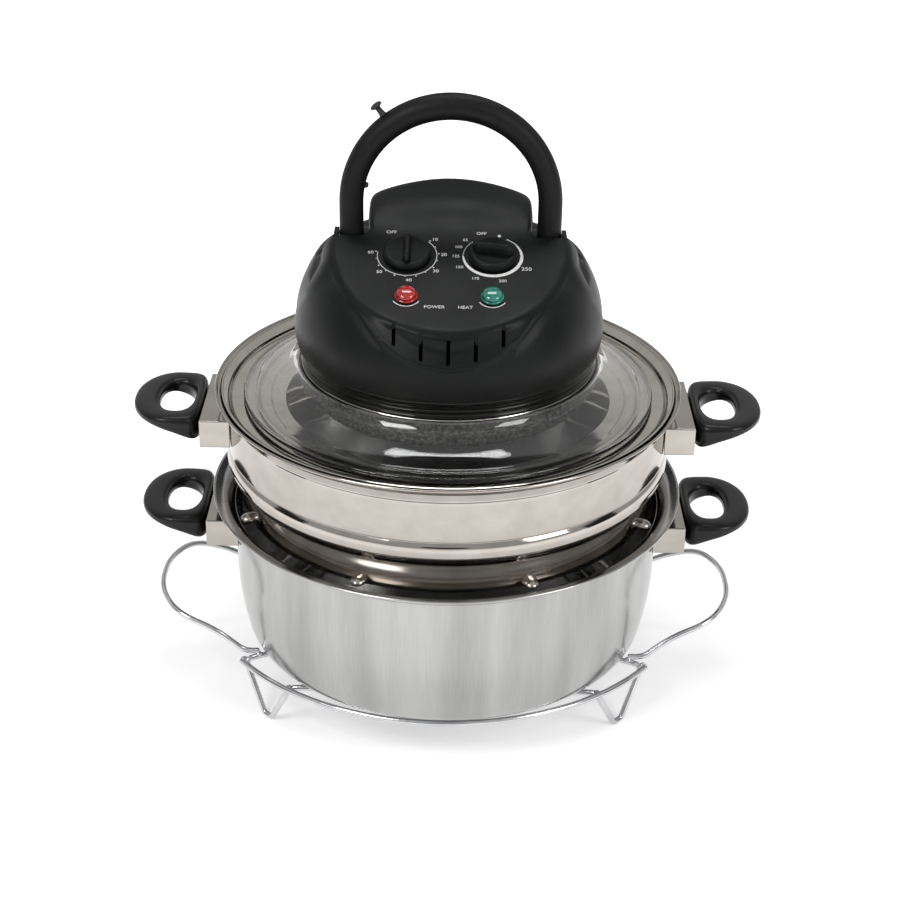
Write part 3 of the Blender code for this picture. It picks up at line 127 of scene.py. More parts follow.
class Paint:
    """A Principled material and short ways to add nodes to it."""

    def __init__(self, name, colour, roughness, **settings):
        self.material = bpy.data.materials.new(name)
        self.material.use_nodes = True
        self.tree = self.material.node_tree
        self.shader = self.tree.nodes["Principled BSDF"]
        self.coords = self.tree.nodes.new("ShaderNodeTexCoord").outputs["Object"]
        self.shader.inputs["Base Color"].default_value = (*colour, 1)
        self.shader.inputs["Roughness"].default_value = roughness
        for socket, value in settings.items():
            self.shader.inputs[socket.replace("_", " ")].default_value = value

    def node(self, kind, inputs=None, **settings):
        return add_node(self.tree, kind, inputs, **settings)

    def noise(self, scale, detail=3.0, roughness=0.5, stretch=None, distortion=0.0):
        vector = self.coords
        if stretch:
            vector = self.node("Mapping", {"Vector": vector, "Scale": stretch}).outputs["Vector"]
        inputs = {"Vector": vector, "Scale": scale, "Detail": detail, "Roughness": roughness,
                  "Distortion": distortion}
        return self.node("TexNoise", inputs).outputs["Fac"]

    def around(self, scale, detail=3.0, angular=1.0, radial=0.0, upward=0.0):
        """Noise on the angle about Z, the radius and the height, each with its own stretch."""
        split = self.node("SeparateXYZ", {"Vector": self.coords})
        angle = self.maths("ARCTAN2", split.outputs["Y"], split.outputs["X"])
        flat = self.node("CombineXYZ", {"X": split.outputs["X"], "Y": split.outputs["Y"]}).outputs[0]
        reach = self.node("VectorMath", {0: flat}, operation="LENGTH").outputs["Value"]
        parts = [self.maths("MULTIPLY", value, share) for value, share in
                 ((angle, angular), (reach, radial), (split.outputs["Z"], upward))]
        vector = self.node("CombineXYZ", {"X": parts[0], "Y": parts[1], "Z": parts[2]}).outputs[0]
        inputs = {"Vector": vector, "Scale": scale, "Detail": detail}
        return self.node("TexNoise", inputs).outputs["Fac"]

    def ranged(self, value, low, high, start=0.3, end=0.7):
        inputs = {"Value": value, "From Min": start, "From Max": end, "To Min": low, "To Max": high}
        return self.node("MapRange", inputs).outputs["Result"]

    def maths(self, operation, first, second=0.5):
        return self.node("Math", {0: first, 1: second}, operation=operation).outputs[0]

    def mixed(self, share, first, second):
        """Blend two linear colours by a share socket."""
        made = self.node("Mix", {"Factor": share}, data_type="RGBA")
        sockets = [socket for socket in made.inputs if socket.type == "RGBA"]
        for socket, colour in zip(sockets, (first, second)):
            socket.default_value = (*colour, 1)
        return [socket for socket in made.outputs if socket.type == "RGBA"][0]

    def drive(self, socket, value):
        self.tree.links.new(value, self.shader.inputs[socket])
        return self

    def tint(self, value, first, second, start=0.3, end=0.7):
        """Drive the base colour from one linear colour to another by a value."""
        return self.drive("Base Color", self.mixed(self.ranged(value, 0, 1, start, end), first, second))

    def bump(self, height, strength, distance):
        inputs = {"Height": height, "Strength": strength, "Distance": distance}
        previous = self.shader.inputs["Normal"].links
        if previous:
            inputs["Normal"] = previous[0].from_socket
        made = self.node("Bump", inputs)
        self.tree.links.new(made.outputs["Normal"], self.shader.inputs["Normal"])
        return self


def chrome_wire():
    paint = Paint("chrome_wire", (0.66, 0.66, 0.67), 0.1, Metallic=1.0)
    dull = paint.noise(90, 5, 0.6)
    paint.drive("Roughness", paint.ranged(dull, 0.07, 0.24))
    paint.tint(paint.noise(40, 4), (0.7, 0.7, 0.71), (0.52, 0.52, 0.54))
    return paint.bump(paint.noise(700, 3), 0.12, 0.0002).material


def satin_steel():
    """Drawn pot steel: fine upright brush lines, faint cloudy patches in the roughness, and painted
    reflections: broad upright bands of lighter and darker colour.
    """
    paint = Paint("satin_steel", (0.44, 0.44, 0.435), 0.2, Metallic=1.0)
    lines = paint.around(120, 3, angular=1.0, upward=0.30)
    broad = paint.around(5.5, 2, angular=1.0, upward=0.6)
    clouds = paint.noise(11, 4, 0.55)
    # Painted reflection: the broad upright bands carry most of the colour change and stand in for the
    # surroundings mirrored in the round wall; the fine brush lines are the steel's own.
    brush_and_reflection_tone = paint.maths("ADD", paint.maths("MULTIPLY", lines, 0.22), paint.maths("MULTIPLY", broad, 0.78))
    paint.tint(brush_and_reflection_tone, (0.34, 0.34, 0.335), (0.46, 0.46, 0.455), 0.36, 0.64)
    rough = paint.maths("ADD", paint.ranged(lines, 0.13, 0.17), paint.ranged(clouds, 0.0, 0.05))
    paint.drive("Roughness", rough)
    return paint.bump(lines, 0.012, 0.0002).material


def polished_steel(name="polished_steel", tint=(0.43, 0.40, 0.37), dark=(0.37, 0.34, 0.31)):
    """Polished ring steel: spun lines round the axis, warm tint and soft smears."""
    paint = Paint(name, tint, 0.1, Metallic=1.0)
    lines = paint.around(900, 3, angular=0.03, radial=1.4, upward=1.4)
    smears = paint.around(9, 3, angular=1.0, radial=3.0, upward=7.0)
    paint.tint(smears, dark, tint)
    rough = paint.maths("ADD", paint.ranged(lines, 0.05, 0.09), paint.ranged(smears, 0.0, 0.04))
    paint.drive("Roughness", rough)
    return paint.bump(lines, 0.03, 0.0002).material


def plated_steel():
    paint = Paint("plated_steel", (0.42, 0.42, 0.43), 0.35, Metallic=1.0)
    grain = paint.noise(260, 4, 0.6)
    paint.drive("Roughness", paint.ranged(grain, 0.26, 0.46))
    paint.tint(paint.noise(35, 4), (0.36, 0.36, 0.36), (0.50, 0.50, 0.51))
    return paint.bump(grain, 0.15, 0.0003).material


def guard_steel():
    """Guard steel behind the glass, painted near black as painted shade of the head's dim inside, mottled
    with darker and lighter specks, with a mottled cast texture in its bump.
    """
    paint = Paint("guard_steel", (0.10, 0.10, 0.095), 0.32, Metallic=0.85)
    mottle = paint.noise(380, 5, 0.62, distortion=0.4)
    patches = paint.around(9, 3, angular=2.0, upward=30)
    # Painted shade: the colour runs only from near black to dark grey, the dimness of the head's inside
    # rather than of the steel.
    paint.tint(mottle, (0.006, 0.006, 0.006), (0.085, 0.085, 0.080), 0.40, 0.62)
    paint.drive("Roughness", paint.ranged(patches, 0.22, 0.5))
    return paint.bump(mottle, 0.6, 0.0012).material


def moulded_plastic(name, colour, low, high, grain_scale=1500, grain=0.14, coat=0.0, specular=0.45):
    """Black moulded plastic with a fine spark-eroded grain and slightly uneven gloss."""
    paint = Paint(name, colour, (low + high) / 2, Coat_Weight=coat, Coat_Roughness=0.12,
                  Specular_IOR_Level=specular)
    fine = paint.noise(grain_scale, 2, 0.6)
    broad = paint.noise(28, 4, 0.55)
    speck = paint.noise(600, 3, 0.7)
    lighter = tuple(channel * 1.35 + 0.001 for channel in colour)
    darker = tuple(channel * 0.8 for channel in colour)
    paint.tint(speck, darker, lighter)
    paint.drive("Roughness", paint.ranged(broad, low, high))
    return paint.bump(fine, grain, 0.0003).bump(broad, 0.05, 0.0006).material


def gloss_black():
    paint = Paint("gloss_black", (0.003, 0.003, 0.003), 0.06, Specular_IOR_Level=0.22)
    film = paint.noise(22, 5, 0.6)
    paint.drive("Roughness", paint.ranged(film, 0.04, 0.13))
    paint.tint(paint.noise(180, 3), (0.002, 0.002, 0.002), (0.004, 0.004, 0.004))
    return paint.bump(paint.noise(120, 2), 0.02, 0.0004).material


def clear_glass():
    """Tempered lid glass: clear, with faint waviness and a thin haze of grease."""
    paint = Paint("clear_glass", (0.985, 0.99, 0.985), 0.01, Transmission_Weight=1.0, IOR=1.45)
    haze = paint.noise(30, 4, 0.6)
    paint.drive("Roughness", paint.ranged(haze, 0.0, 0.02))
    return paint.bump(paint.noise(18, 2), 0.006, 0.001).material


def lens(name, deep, bright):
    """Coloured lamp lens: clear coat over a cloudy body with moulded facets."""
    paint = Paint(name, bright, 0.16, Coat_Weight=1.0, Coat_Roughness=0.04, Subsurface_Weight=0.25,
                  Subsurface_Radius=(0.004, 0.004, 0.004), Subsurface_Scale=0.5)
    cells = paint.node("TexVoronoi", {"Vector": paint.coords, "Scale": 420.0}).outputs["Distance"]
    paint.tint(paint.noise(170, 3), deep, bright)
    return paint.bump(cells, 0.06, 0.0003).material


def printed_ink():
    paint = Paint("printed_ink", (0.62, 0.62, 0.61), 0.55)
    worn = paint.noise(900, 3, 0.6)
    paint.tint(worn, (0.34, 0.34, 0.34), (0.70, 0.70, 0.69), 0.32, 0.5)
    return paint.bump(worn, 0.2, 0.0001).material


def quartz_tube():
    paint = Paint("quartz", (0.93, 0.92, 0.88), 0.06, Transmission_Weight=0.7, IOR=1.46)
    paint.drive("Roughness", paint.ranged(paint.noise(60, 4), 0.03, 0.2))
    return paint.bump(paint.noise(240, 2), 0.06, 0.0005).material


def fired_ceramic():
    paint = Paint("ceramic", (0.74, 0.71, 0.64), 0.55)
    pits = paint.noise(420, 5, 0.7)
    paint.tint(pits, (0.60, 0.56, 0.49), (0.80, 0.77, 0.70))
    paint.drive("Roughness", paint.ranged(pits, 0.45, 0.7))
    return paint.bump(pits, 0.4, 0.0005).material


PAINTS = {
    "chrome_wire": chrome_wire(),
    "satin_steel": satin_steel(),
    "polished_steel": polished_steel(),
    # Painted light: a lighter copy of the polished ring steel for the adapter's ledge, brightened because
    # the ledge sits in shade under the glass.
    "brightened_ledge_steel": polished_steel("brightened_ledge_steel", (0.50, 0.48, 0.43), (0.43, 0.41, 0.36)),
    "plated_steel": plated_steel(),
    "guard_steel": guard_steel(),
    "bakelite": moulded_plastic("bakelite", (0.0040, 0.0043, 0.0042), 0.26, 0.38, 900, 0.08, 0.05, 0.25),
    "matte_black": moulded_plastic("matte_black", (0.0024, 0.0030, 0.0029), 0.36, 0.48, specular=0.17),
    "grip_black": moulded_plastic("grip_black", (0.0028, 0.0034, 0.0028), 0.44, 0.58, 1100, 0.2,
                                  specular=0.18),
    "gloss_black": gloss_black(),
    "clear_glass": clear_glass(),
    "red_lens": lens("red_lens", (0.16, 0.002, 0.002), (0.55, 0.006, 0.004)),
    "green_lens": lens("green_lens", (0.0, 0.075, 0.055), (0.004, 0.27, 0.19)),
    "printed_ink": printed_ink(),
    "quartz": quartz_tube(),
    "ceramic": fired_ceramic(),
    "rubber": moulded_plastic("rubber", (0.012, 0.012, 0.012), 0.55, 0.75, 500, 0.3),
}


def mesh_data(name, mesh):
    """Turn a working mesh into mesh data and free it."""
    data = bpy.data.meshes.new(name)
    mesh.to_mesh(data)
    mesh.free()
    return data


def aimed(place, aim):
    """Matrix of a lamp or card that stands at one point and faces another."""
    turn = (Vector(aim) - Vector(place)).to_track_quat("-Z", "Y").to_matrix().to_4x4()
    return Matrix.Translation(place) @ turn


def smooth(data, sharp=SHARP_ANGLE):
    """Shade a mesh smooth but for edges sharper than an angle in degrees."""
    data.shade_smooth()
    data.set_sharp_from_angle(angle=math.radians(sharp))


def piece_from(name, vertices, faces, paint, sharp=SHARP_ANGLE):
    data = bpy.data.meshes.new(name)
    data.from_pydata([tuple(vertex) for vertex in vertices], [], faces)
    data.validate()
    return finished(name, data, paint, sharp)


def finished(name, data, paint, sharp=SHARP_ANGLE):
    """Make an object of a mesh, smooth but for its sharp edges, with its material."""
    mesh = bmesh.new()
    mesh.from_mesh(data)
    bmesh.ops.recalc_face_normals(mesh, faces=mesh.faces)
    mesh.to_mesh(data)
    mesh.free()
    smooth(data, sharp)
    data.materials.append(PAINTS[paint])
    piece = bpy.data.objects.new(name, data)
    bpy.context.scene.collection.objects.link(piece)
    return piece


def applied(piece):
    """Replace a piece's mesh by what its modifiers make of it."""
    graph = bpy.context.evaluated_depsgraph_get()
    data = bpy.data.meshes.new_from_object(piece.evaluated_get(graph))
    piece.modifiers.clear()
    piece.data = data
    return piece


def soft_line(points, steps=5):
    """Line of (radius, height, bend) points with a round corner at each that has a bend."""
    count = len(points)
    line = []
    for index, point in enumerate(points):
        corner = Vector(point[:2])
        bend = point[2] if len(point) > 2 else 0
        if not bend or index in (0, count - 1):
            line.append(corner)
            continue
        before = Vector(points[index - 1][:2]) - corner
        after = Vector(points[index + 1][:2]) - corner
        start = corner + before.normalized() * min(bend, before.length * 0.48)
        end = corner + after.normalized() * min(bend, after.length * 0.48)
        for step in range(steps + 1):
            share = step / steps
            line.append(start.lerp(corner, share).lerp(corner.lerp(end, share), share))
    return line


def flowing(points, steps=6):
    """Smooth line through points in any dimension, by the Catmull-Rom rule."""
    spots = [Vector(point) for point in points]
    line = []
    for index in range(len(spots) - 1):
        before = spots[max(index - 1, 0)]
        here, there = spots[index], spots[index + 1]
        after = spots[min(index + 2, len(spots) - 1)]
        for step in range(steps):
            t = step / steps
            bend = before * 2 - here * 5 + there * 4 - after
            twist = here * 3 - before - there * 3 + after
            line.append(here + (there - before) * (0.5 * t) + bend * (0.5 * t * t) + twist * (0.5 * t ** 3))
    return line + [spots[-1]]


def walled(line, wall):
    """Closed outline of a sheet: the line, then the line moved to its left by the wall, backwards."""
    inner = []
    for index, point in enumerate(line):
        along = line[min(index + 1, len(line) - 1)] - line[max(index - 1, 0)]
        along.normalize()
        inner.append(Vector((max(point.x - along.y * wall, 0), point.y + along.x * wall)))
    return list(line) + inner[::-1]


def strip_faces(first, second):
    """Faces between two closed rows of corners."""
    pairs = list(zip(first, second))
    return [(here[0], after[0], after[1], here[1]) for here, after in zip(pairs, pairs[1:] + pairs[:1])]


def lathe(name, outline, paint, steps=TURN_STEPS, sharp=SHARP_ANGLE):
    """Turn a closed outline of (radius, height) points about Z; points on the axis share one vertex."""
    line = [Vector(point[:2]) for point in outline]
    line = [point for index, point in enumerate(line) if (point - line[index - 1]).length > 1e-6]
    vertices, rows = [], []
    for point in line:
        if point.x < 1e-6:
            rows.append([len(vertices)] * steps)
            vertices.append((0, 0, point.y))
            continue
        rows.append(list(range(len(vertices), len(vertices) + steps)))
        for step in range(steps):
            angle = math.tau * step / steps
            vertices.append((point.x * math.cos(angle), point.x * math.sin(angle), point.y))
    faces = []
    for row, following in zip(rows, rows[1:] + rows[:1]):
        if row[0] == row[-1] and following[0] == following[-1]:
            continue
        faces += [tuple(dict.fromkeys(face)) for face in strip_faces(row, following)]
    return piece_from(name, vertices, faces, paint, sharp)


def tube(name, points, radii, paint, sides=20):
    """Round tube along points, with domed ends."""
    spots = [Vector(point) for point in points]
    radii = list(radii) if hasattr(radii, "__len__") else [radii] * len(spots)
    count = len(spots)
    tangents = [(spots[min(index + 1, count - 1)] - spots[max(index - 1, 0)]).normalized()
                for index in range(count)]
    guide = Vector((0, 0, 1)) if abs(tangents[0].z) < 0.9 else Vector((0, 1, 0))
    flat = (guide - tangents[0] * guide.dot(tangents[0])).normalized()
    vertices, rows = [], []

    def add_ring(centre, across, other, radius):
        rows.append(range(len(vertices), len(vertices) + sides))
        for step in range(sides):
            angle = math.tau * step / sides
            vertices.append(centre + (across * math.cos(angle) + other * math.sin(angle)) * radius)

    def add_cap(spot, way, across, other, radius, shares):
        for share in shares:
            centre = spot + way * radius * CAP_SHARE * math.sqrt(1 - share ** 2)
            add_ring(centre, across, other, radius * share)

    for index, (spot, tangent, radius) in enumerate(zip(spots, tangents, radii)):
        flat = (flat - tangent * flat.dot(tangent)).normalized()
        other = tangent.cross(flat)
        if index == 0:
            add_cap(spot, -tangent, flat, other, radius, (0.5, 0.85))
        add_ring(spot, flat, other, radius)
        if index == count - 1:
            add_cap(spot, tangent, flat, other, radius, (0.85, 0.5))
    faces = [face for first, second in zip(rows, rows[1:]) for face in strip_faces(first, second)]
    faces += [tuple(rows[0])[::-1], tuple(rows[-1])]
    return piece_from(name, vertices, faces, paint)


def stand_for(piece, body, *nodes):
    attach(piece, body)
    if nodes:
        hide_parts(*nodes)
    return piece


def soften(piece, width, angle=30):
    """Bevel the edges of a piece that are sharper than an angle in degrees."""
    bevel = piece.modifiers.new("soft_edges", "BEVEL")
    bevel.width = width
    bevel.segments = 3
    bevel.limit_method = "ANGLE"
    bevel.angle_limit = math.radians(angle)
    return bevel


def cut(piece, tool, operation="DIFFERENCE", solver="MANIFOLD"):
    """Cut a piece with a tool, or join it, and remove the tool."""
    boolean = piece.modifiers.new("cut", "BOOLEAN")
    boolean.operation = operation
    boolean.solver = solver
    boolean.object = tool
    applied(piece)
    bpy.data.objects.remove(tool, do_unlink=True)
    return piece


def add_box(mesh, low, high, turn=None):
    made = bmesh.ops.create_cube(mesh, size=1)
    bmesh.ops.scale(mesh, vec=Vector(high) - Vector(low), verts=made["verts"])
    bmesh.ops.translate(mesh, vec=(Vector(high) + Vector(low)) / 2, verts=made["verts"])
    if turn:
        bmesh.ops.transform(mesh, matrix=turn, verts=made["verts"])
    return made["verts"]


def panel_place(across, reach, lift=0.0):
    """Matrix that stands a piece on the panel, square to it."""
    height = PANEL_FRONT_HEIGHT + (PANEL_FRONT_REACH - reach) * math.tan(PANEL_PITCH)
    return Matrix.Translation(Vector((across, -reach, height)) + PANEL_NORMAL * lift) @ PANEL_TURN


# Camera, light and floor

WORLD_LEVEL = 0.42
GLOSSY_WORLD = 0.60
FLOOR_GLOW = 0.46
FLOOR_SHADE_REACH = 0.25
FLOOR_WHITE_REACH = 0.90
FLOOR_HALF = 6
FLAG_COLOUR = (0.03, 0.03, 0.03, 1)
LAMPS = (
    ("key_light", (-0.95, -1.1, 1.5), (0, 0, 0.2), (0.7, 0.6), 14),
    ("fill_light", (1.2, -1.0, 1.1), (0, 0, 0.15), (0.6, 0.8), 10),
    ("top_light", (0.0, 0.35, 1.9), (0, 0, 0.3), (0.9, 0.3), 7),
)
FLAGS = (
    ("back_flag", (0, 1.50, 1.20), (0, 0, 0.25), (0.34, 0.9)),
    ("left_flag", (-1.6, -0.35, 0.40), (0, 0, 0.2), (0.55, 0.8)),
    ("right_flag", (1.6, -0.35, 0.40), (0, 0, 0.2), (0.55, 0.8)),
    ("camera_flag", (0, -2.1, 0.75), (0, 0, 0.25), (0.8, 0.55)),
)


def set_studio():
    scene = bpy.context.scene
    data = bpy.data.cameras.new("photo_camera")
    data.lens = CAMERA_LENS
    data.sensor_width = 36.0
    data.clip_start = 0.05
    camera = bpy.data.objects.new("photo_camera", data)
    turn = Matrix.Rotation(CAMERA_PITCH, 4, "X") @ Matrix.Rotation(CAMERA_ROLL, 4, "Z")
    camera.matrix_world = Matrix.Translation(CAMERA_PLACE) @ turn
    scene.collection.objects.link(camera)
    scene.camera = camera
    scene.view_settings.view_transform = "Standard"

    world = bpy.data.worlds.new("white_studio")
    world.use_nodes = True
    scene.world = world
    tree = world.node_tree
    path = add_node(tree, "LightPath")
    level = add_node(tree, "MapRange", {"Value": add_seen(tree, path), "To Min": WORLD_LEVEL, "To Max": 1.0})
    inputs = {"Value": path.outputs["Is Glossy Ray"], "To Min": 1.0, "To Max": GLOSSY_WORLD}
    mirrored = add_node(tree, "MapRange", inputs)
    inputs = {0: level.outputs["Result"], 1: mirrored.outputs["Result"]}
    dimmed = add_node(tree, "Math", inputs, operation="MULTIPLY")
    background = tree.nodes["Background"]
    background.inputs["Color"].default_value = (1, 1, 1, 1)
    tree.links.new(dimmed.outputs[0], background.inputs["Strength"])

    for name, place, aim, size, power in LAMPS:
        lamp = bpy.data.lights.new(name, "AREA")
        lamp.shape = "RECTANGLE"
        lamp.size, lamp.size_y = size
        lamp.energy = power
        holder = bpy.data.objects.new(name, lamp)
        holder.matrix_world = aimed(place, aim)
        scene.collection.objects.link(holder)

    for name, place, aim, size in FLAGS:
        add_flag(name, place, aim, size)
    stage_sheet("floor", (2 * FLOOR_HALF, 2 * FLOOR_HALF), floor_paint())


def stage_sheet(name, size, paint, place=Matrix.Identity(4)):
    """Flat sheet that belongs to the studio."""
    mesh = bmesh.new()
    bmesh.ops.create_grid(mesh, x_segments=1, y_segments=1, size=0.5)
    bmesh.ops.scale(mesh, vec=(*size, 1), verts=mesh.verts)
    sheet = bpy.data.objects.new(name, mesh_data(name, mesh))
    sheet.matrix_world = place
    bpy.context.scene.collection.objects.link(sheet)
    sheet.data.materials.append(paint)
    return sheet


def add_seen(tree, path):
    """Join the kinds of rays that should see the white background."""
    kinds = ("Camera", "Glossy", "Transmission")
    camera, glossy, passing = [path.outputs[f"Is {kind} Ray"] for kind in kinds]
    first = add_node(tree, "Math", {0: camera, 1: glossy}, operation="MAXIMUM").outputs[0]
    return add_node(tree, "Math", {0: first, 1: passing}, operation="MAXIMUM").outputs[0]


def add_flag(name, place, aim, size):
    """Dark card that only reflections see."""
    paint = bpy.data.materials.new(name)
    paint.use_nodes = True
    tree = paint.node_tree
    tree.nodes.clear()
    glow = add_node(tree, "Emission", {"Color": FLAG_COLOUR})
    add_node(tree, "OutputMaterial", {"Surface": glow.outputs[0]})
    card = stage_sheet(name, size, paint, aimed(place, aim))
    card.visible_camera = False
    card.visible_diffuse = False
    card.visible_shadow = False
    card.visible_transmission = False


def floor_paint():
    """White floor that keeps the oven's shadow and glows as bright as the backdrop further out."""
    paint = Paint("white_floor", (0.8, 0.8, 0.8), 0.9, Specular_IOR_Level=0.0)
    reach = paint.node("VectorMath", {0: paint.coords}, operation="LENGTH").outputs["Value"]
    inputs = {"Value": reach, "From Min": FLOOR_SHADE_REACH, "From Max": FLOOR_WHITE_REACH,
              "To Min": FLOOR_GLOW, "To Max": 1.0}
    spread = paint.node("MapRange", inputs, interpolation_type="SMOOTHSTEP").outputs["Result"]
    strength = paint.maths("MULTIPLY", add_seen(paint.tree, paint.node("LightPath")), spread)
    glow = paint.node("Emission", {"Strength": strength})
    both = paint.node("AddShader", {0: paint.shader.outputs[0], 1: glow.outputs[0]})
    paint.tree.links.new(both.outputs[0], paint.tree.nodes["Material Output"].inputs["Surface"])
    return paint.material


# Wire stand

WIRE_RADIUS = 0.0024
SUPPORT_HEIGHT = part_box("stand_front_support")[1].z - WIRE_RADIUS * math.cos(math.pi / 8)
ARC_RADIUS = 0.2060
ARC_SET_BACK = 0.0500
ARC_WIDTH_SHARE = 0.7961
FOOT_FRONT_ANGLE = math.radians(36.9)
FOOT_SIDE_ANGLE = math.radians(52.8)
FOOT_WELD_SHARE = 1.46
FOOT_TIP = (0.1420, 0.0920)
FOOT_FLAT = 0.0090
FOOT_BEND = 0.0060
FOOT_TIP_BEND = 0.0028
FOOT_INWARD_RUN = 0.0140
SUPPORT_FRONT_HALF = 0.0980
SUPPORT_SIDE_REACH = 0.1380
SUPPORT_SIDE_HALF = 0.0480
LOOP_REACH = 0.2350
LOOP_HEIGHT = 0.0800
LOOP_HALF = 0.0640
LOOP_SEAT_SHARE = 0.45
LOOP_BEND_SHARE = 0.45
LOOP_SHARES = ((0.40, 1, 0.52), (0.80, 0.90, 0.92), (1, 0.36, 1))
LOOP_START_SHARE = 0.14
BEAD_SIZE = (0.0030, 0.0030, 0.0020)
BEAD_SPREAD = 1.006
BEAD_LIFT = 0.0004


def rounded_path(corners, bends, steps=6):
    corners = [Vector(corner) for corner in corners]
    path = [corners[0]]
    for index in range(1, len(corners) - 1):
        corner = corners[index]
        before = corners[index - 1] - corner
        after = corners[index + 1] - corner
        reach = min(bends[index - 1], before.length * 0.49, after.length * 0.49)
        start = corner + before.normalized() * reach
        end = corner + after.normalized() * reach
        for step in range(steps + 1):
            share = step / steps
            path.append(start.lerp(corner, share).lerp(corner.lerp(end, share), share))
    return path + [corners[-1]]


def foot_top(angle):
    inside = ARC_RADIUS - FOOT_WELD_SHARE * WIRE_RADIUS - CLEARANCE
    return Vector((inside * math.sin(angle), inside * math.cos(angle) - ARC_SET_BACK, SUPPORT_HEIGHT))


def foot_corners():
    """Corners of one bent foot: from the front support down to the floor and up to the side support."""
    front_top, side_top = foot_top(FOOT_FRONT_ANGLE), foot_top(FOOT_SIDE_ANGLE)
    side_end = Vector((SUPPORT_SIDE_REACH, SUPPORT_SIDE_HALF, SUPPORT_HEIGHT))
    tip = Vector((*FOOT_TIP, WIRE_RADIUS))
    spread = (side_top - front_top).normalized() * FOOT_FLAT / 2
    return [Vector((SUPPORT_FRONT_HALF, front_top.y, SUPPORT_HEIGHT)), front_top, tip - spread, tip + spread,
            side_top, side_end + Vector((0, FOOT_INWARD_RUN, 0)), side_end]


def loop_path(seat):
    """Side loop that leaves the stand at its seat and comes back at the other end."""
    out, rise = LOOP_REACH - seat.x, LOOP_HEIGHT - seat.z
    half = [(seat.x, -seat.y, seat.z), (seat.x + out * LOOP_START_SHARE, -seat.y, seat.z)]
    for far, wide, up in LOOP_SHARES:
        half.append((seat.x + out * far, -LOOP_HALF * wide, seat.z + rise * up))
    corners = half + [(x, -y, z) for x, y, z in half[::-1]]
    return rounded_path(corners, [LOOP_HALF * LOOP_BEND_SHARE] * len(corners), 10)


def weld_bead(mesh, place):
    """Small lumpy bead of weld metal at a crossing of two wires."""
    made = bmesh.ops.create_uvsphere(mesh, u_segments=14, v_segments=9, radius=1)
    for vertex in made["verts"]:
        swell = 1 + 0.12 * math.sin(7 * vertex.co.x + 3) * math.cos(5 * vertex.co.y + 1)
        vertex.co = Vector(place) + vertex.co * Vector(BEAD_SIZE) * swell


def stand_wire(name, path):
    stand_for(tube(f"wire_{name}", path, WIRE_RADIUS, "chrome_wire"), "stand", f"stand_{name}")


def make_stand():
    """Wire stand: arcs and supports in front and behind, side supports, feet, loops and weld beads."""
    ends = {-1: "front", 1: "rear"}
    sides = {-1: "left", 1: "right"}
    front_top, side_top = foot_top(FOOT_FRONT_ANGLE), foot_top(FOOT_SIDE_ANGLE)
    half = math.asin(ARC_WIDTH_SHARE)
    for along, end in ends.items():
        arc = []
        for step in range(61):
            angle = half * (step / 30 - 1)
            back = along * (ARC_RADIUS * math.cos(angle) - ARC_SET_BACK)
            arc.append((ARC_RADIUS * math.sin(angle), back, SUPPORT_HEIGHT))
        stand_wire(f"{end}_arc", arc)
        reach = front_top.y * along
        line = [(SUPPORT_FRONT_HALF * share, reach, SUPPORT_HEIGHT) for share in (-1, -0.5, 0, 0.5, 1)]
        stand_wire(f"{end}_support", line)

    foot = rounded_path(foot_corners(), [FOOT_BEND, FOOT_TIP_BEND, FOOT_TIP_BEND, FOOT_BEND, FOOT_BEND])
    inner = Vector((SUPPORT_SIDE_REACH, SUPPORT_SIDE_HALF + FOOT_INWARD_RUN, side_top.z))
    weld = side_top.lerp(inner, LOOP_SEAT_SHARE)
    loop = loop_path(weld + Vector((0, 0, 2 * WIRE_RADIUS + CLEARANCE)))
    beads = bmesh.new()
    for across, side in sides.items():
        reach = SUPPORT_SIDE_REACH * across
        line = [(reach, SUPPORT_SIDE_HALF * share, SUPPORT_HEIGHT) for share in (-1, 0, 1)]
        stand_wire(f"{side}_support", line)
        for along, end in ends.items():
            stand_wire(f"foot_{end}_{side}", [(x * across, y * along, z) for x, y, z in foot])
            for spot in (front_top, side_top):
                place = (spot.x * across * BEAD_SPREAD, spot.y * along * BEAD_SPREAD, spot.z + BEAD_LIFT)
                weld_bead(beads, place)
        for along in ends:
            weld_bead(beads, (weld.x * across, weld.y * along, weld.z + WIRE_RADIUS))
        stand_wire(f"{side}_loop", [(x * across, y, z) for x, y, z in loop])
    stand_for(finished("stand_welds", mesh_data("stand_welds", beads), "chrome_wire"), "stand")


# Pot tiers

POT_RADIUS = 0.1715
POT_WALL = 0.0009
POT_FLARE = 0.0175
POT_HEIGHT = 0.1290
POT_FOOT_SHARE = 0.80
POT_SHOULDER_SHARE = 0.870
POT_BODY_SHARES = ((0.872, 0), (0.928, 0.018), (0.955, 0.062), (0.968, 0.130), (0.980, 0.210),
                   (0.993, 0.330), (1, 0.460), (1, 0.660), (1, POT_SHOULDER_SHARE))
POT_FLARE_SHARES = ((0.05, 0.20), (0.20, 0.48), (0.50, 0.80))
HEM_RADIUS = 0.0011
DIMPLE_COUNT = 8
DIMPLE_SIZE = (0.0078, 0.0062, 0.0038)
DIMPLE_OUT = 0.0013
DIMPLE_RISE = 0.0051
RING_SINK = 0.0072
NECK_RADIUS = 0.1650
BAND_RADIUS = 0.1745
STEP_RADIUS = 0.1725
ADAPTER_WALL = 0.0012


def hem(centre, radius, start, end, steps=10):
    """Arc of (radius, height) points of a rolled hem, its angles in degrees."""
    return [Vector((centre[0] + radius * math.cos(math.radians(start + (end - start) * step / steps)),
                    centre[1] + radius * math.sin(math.radians(start + (end - start) * step / steps))))
            for step in range(steps + 1)]


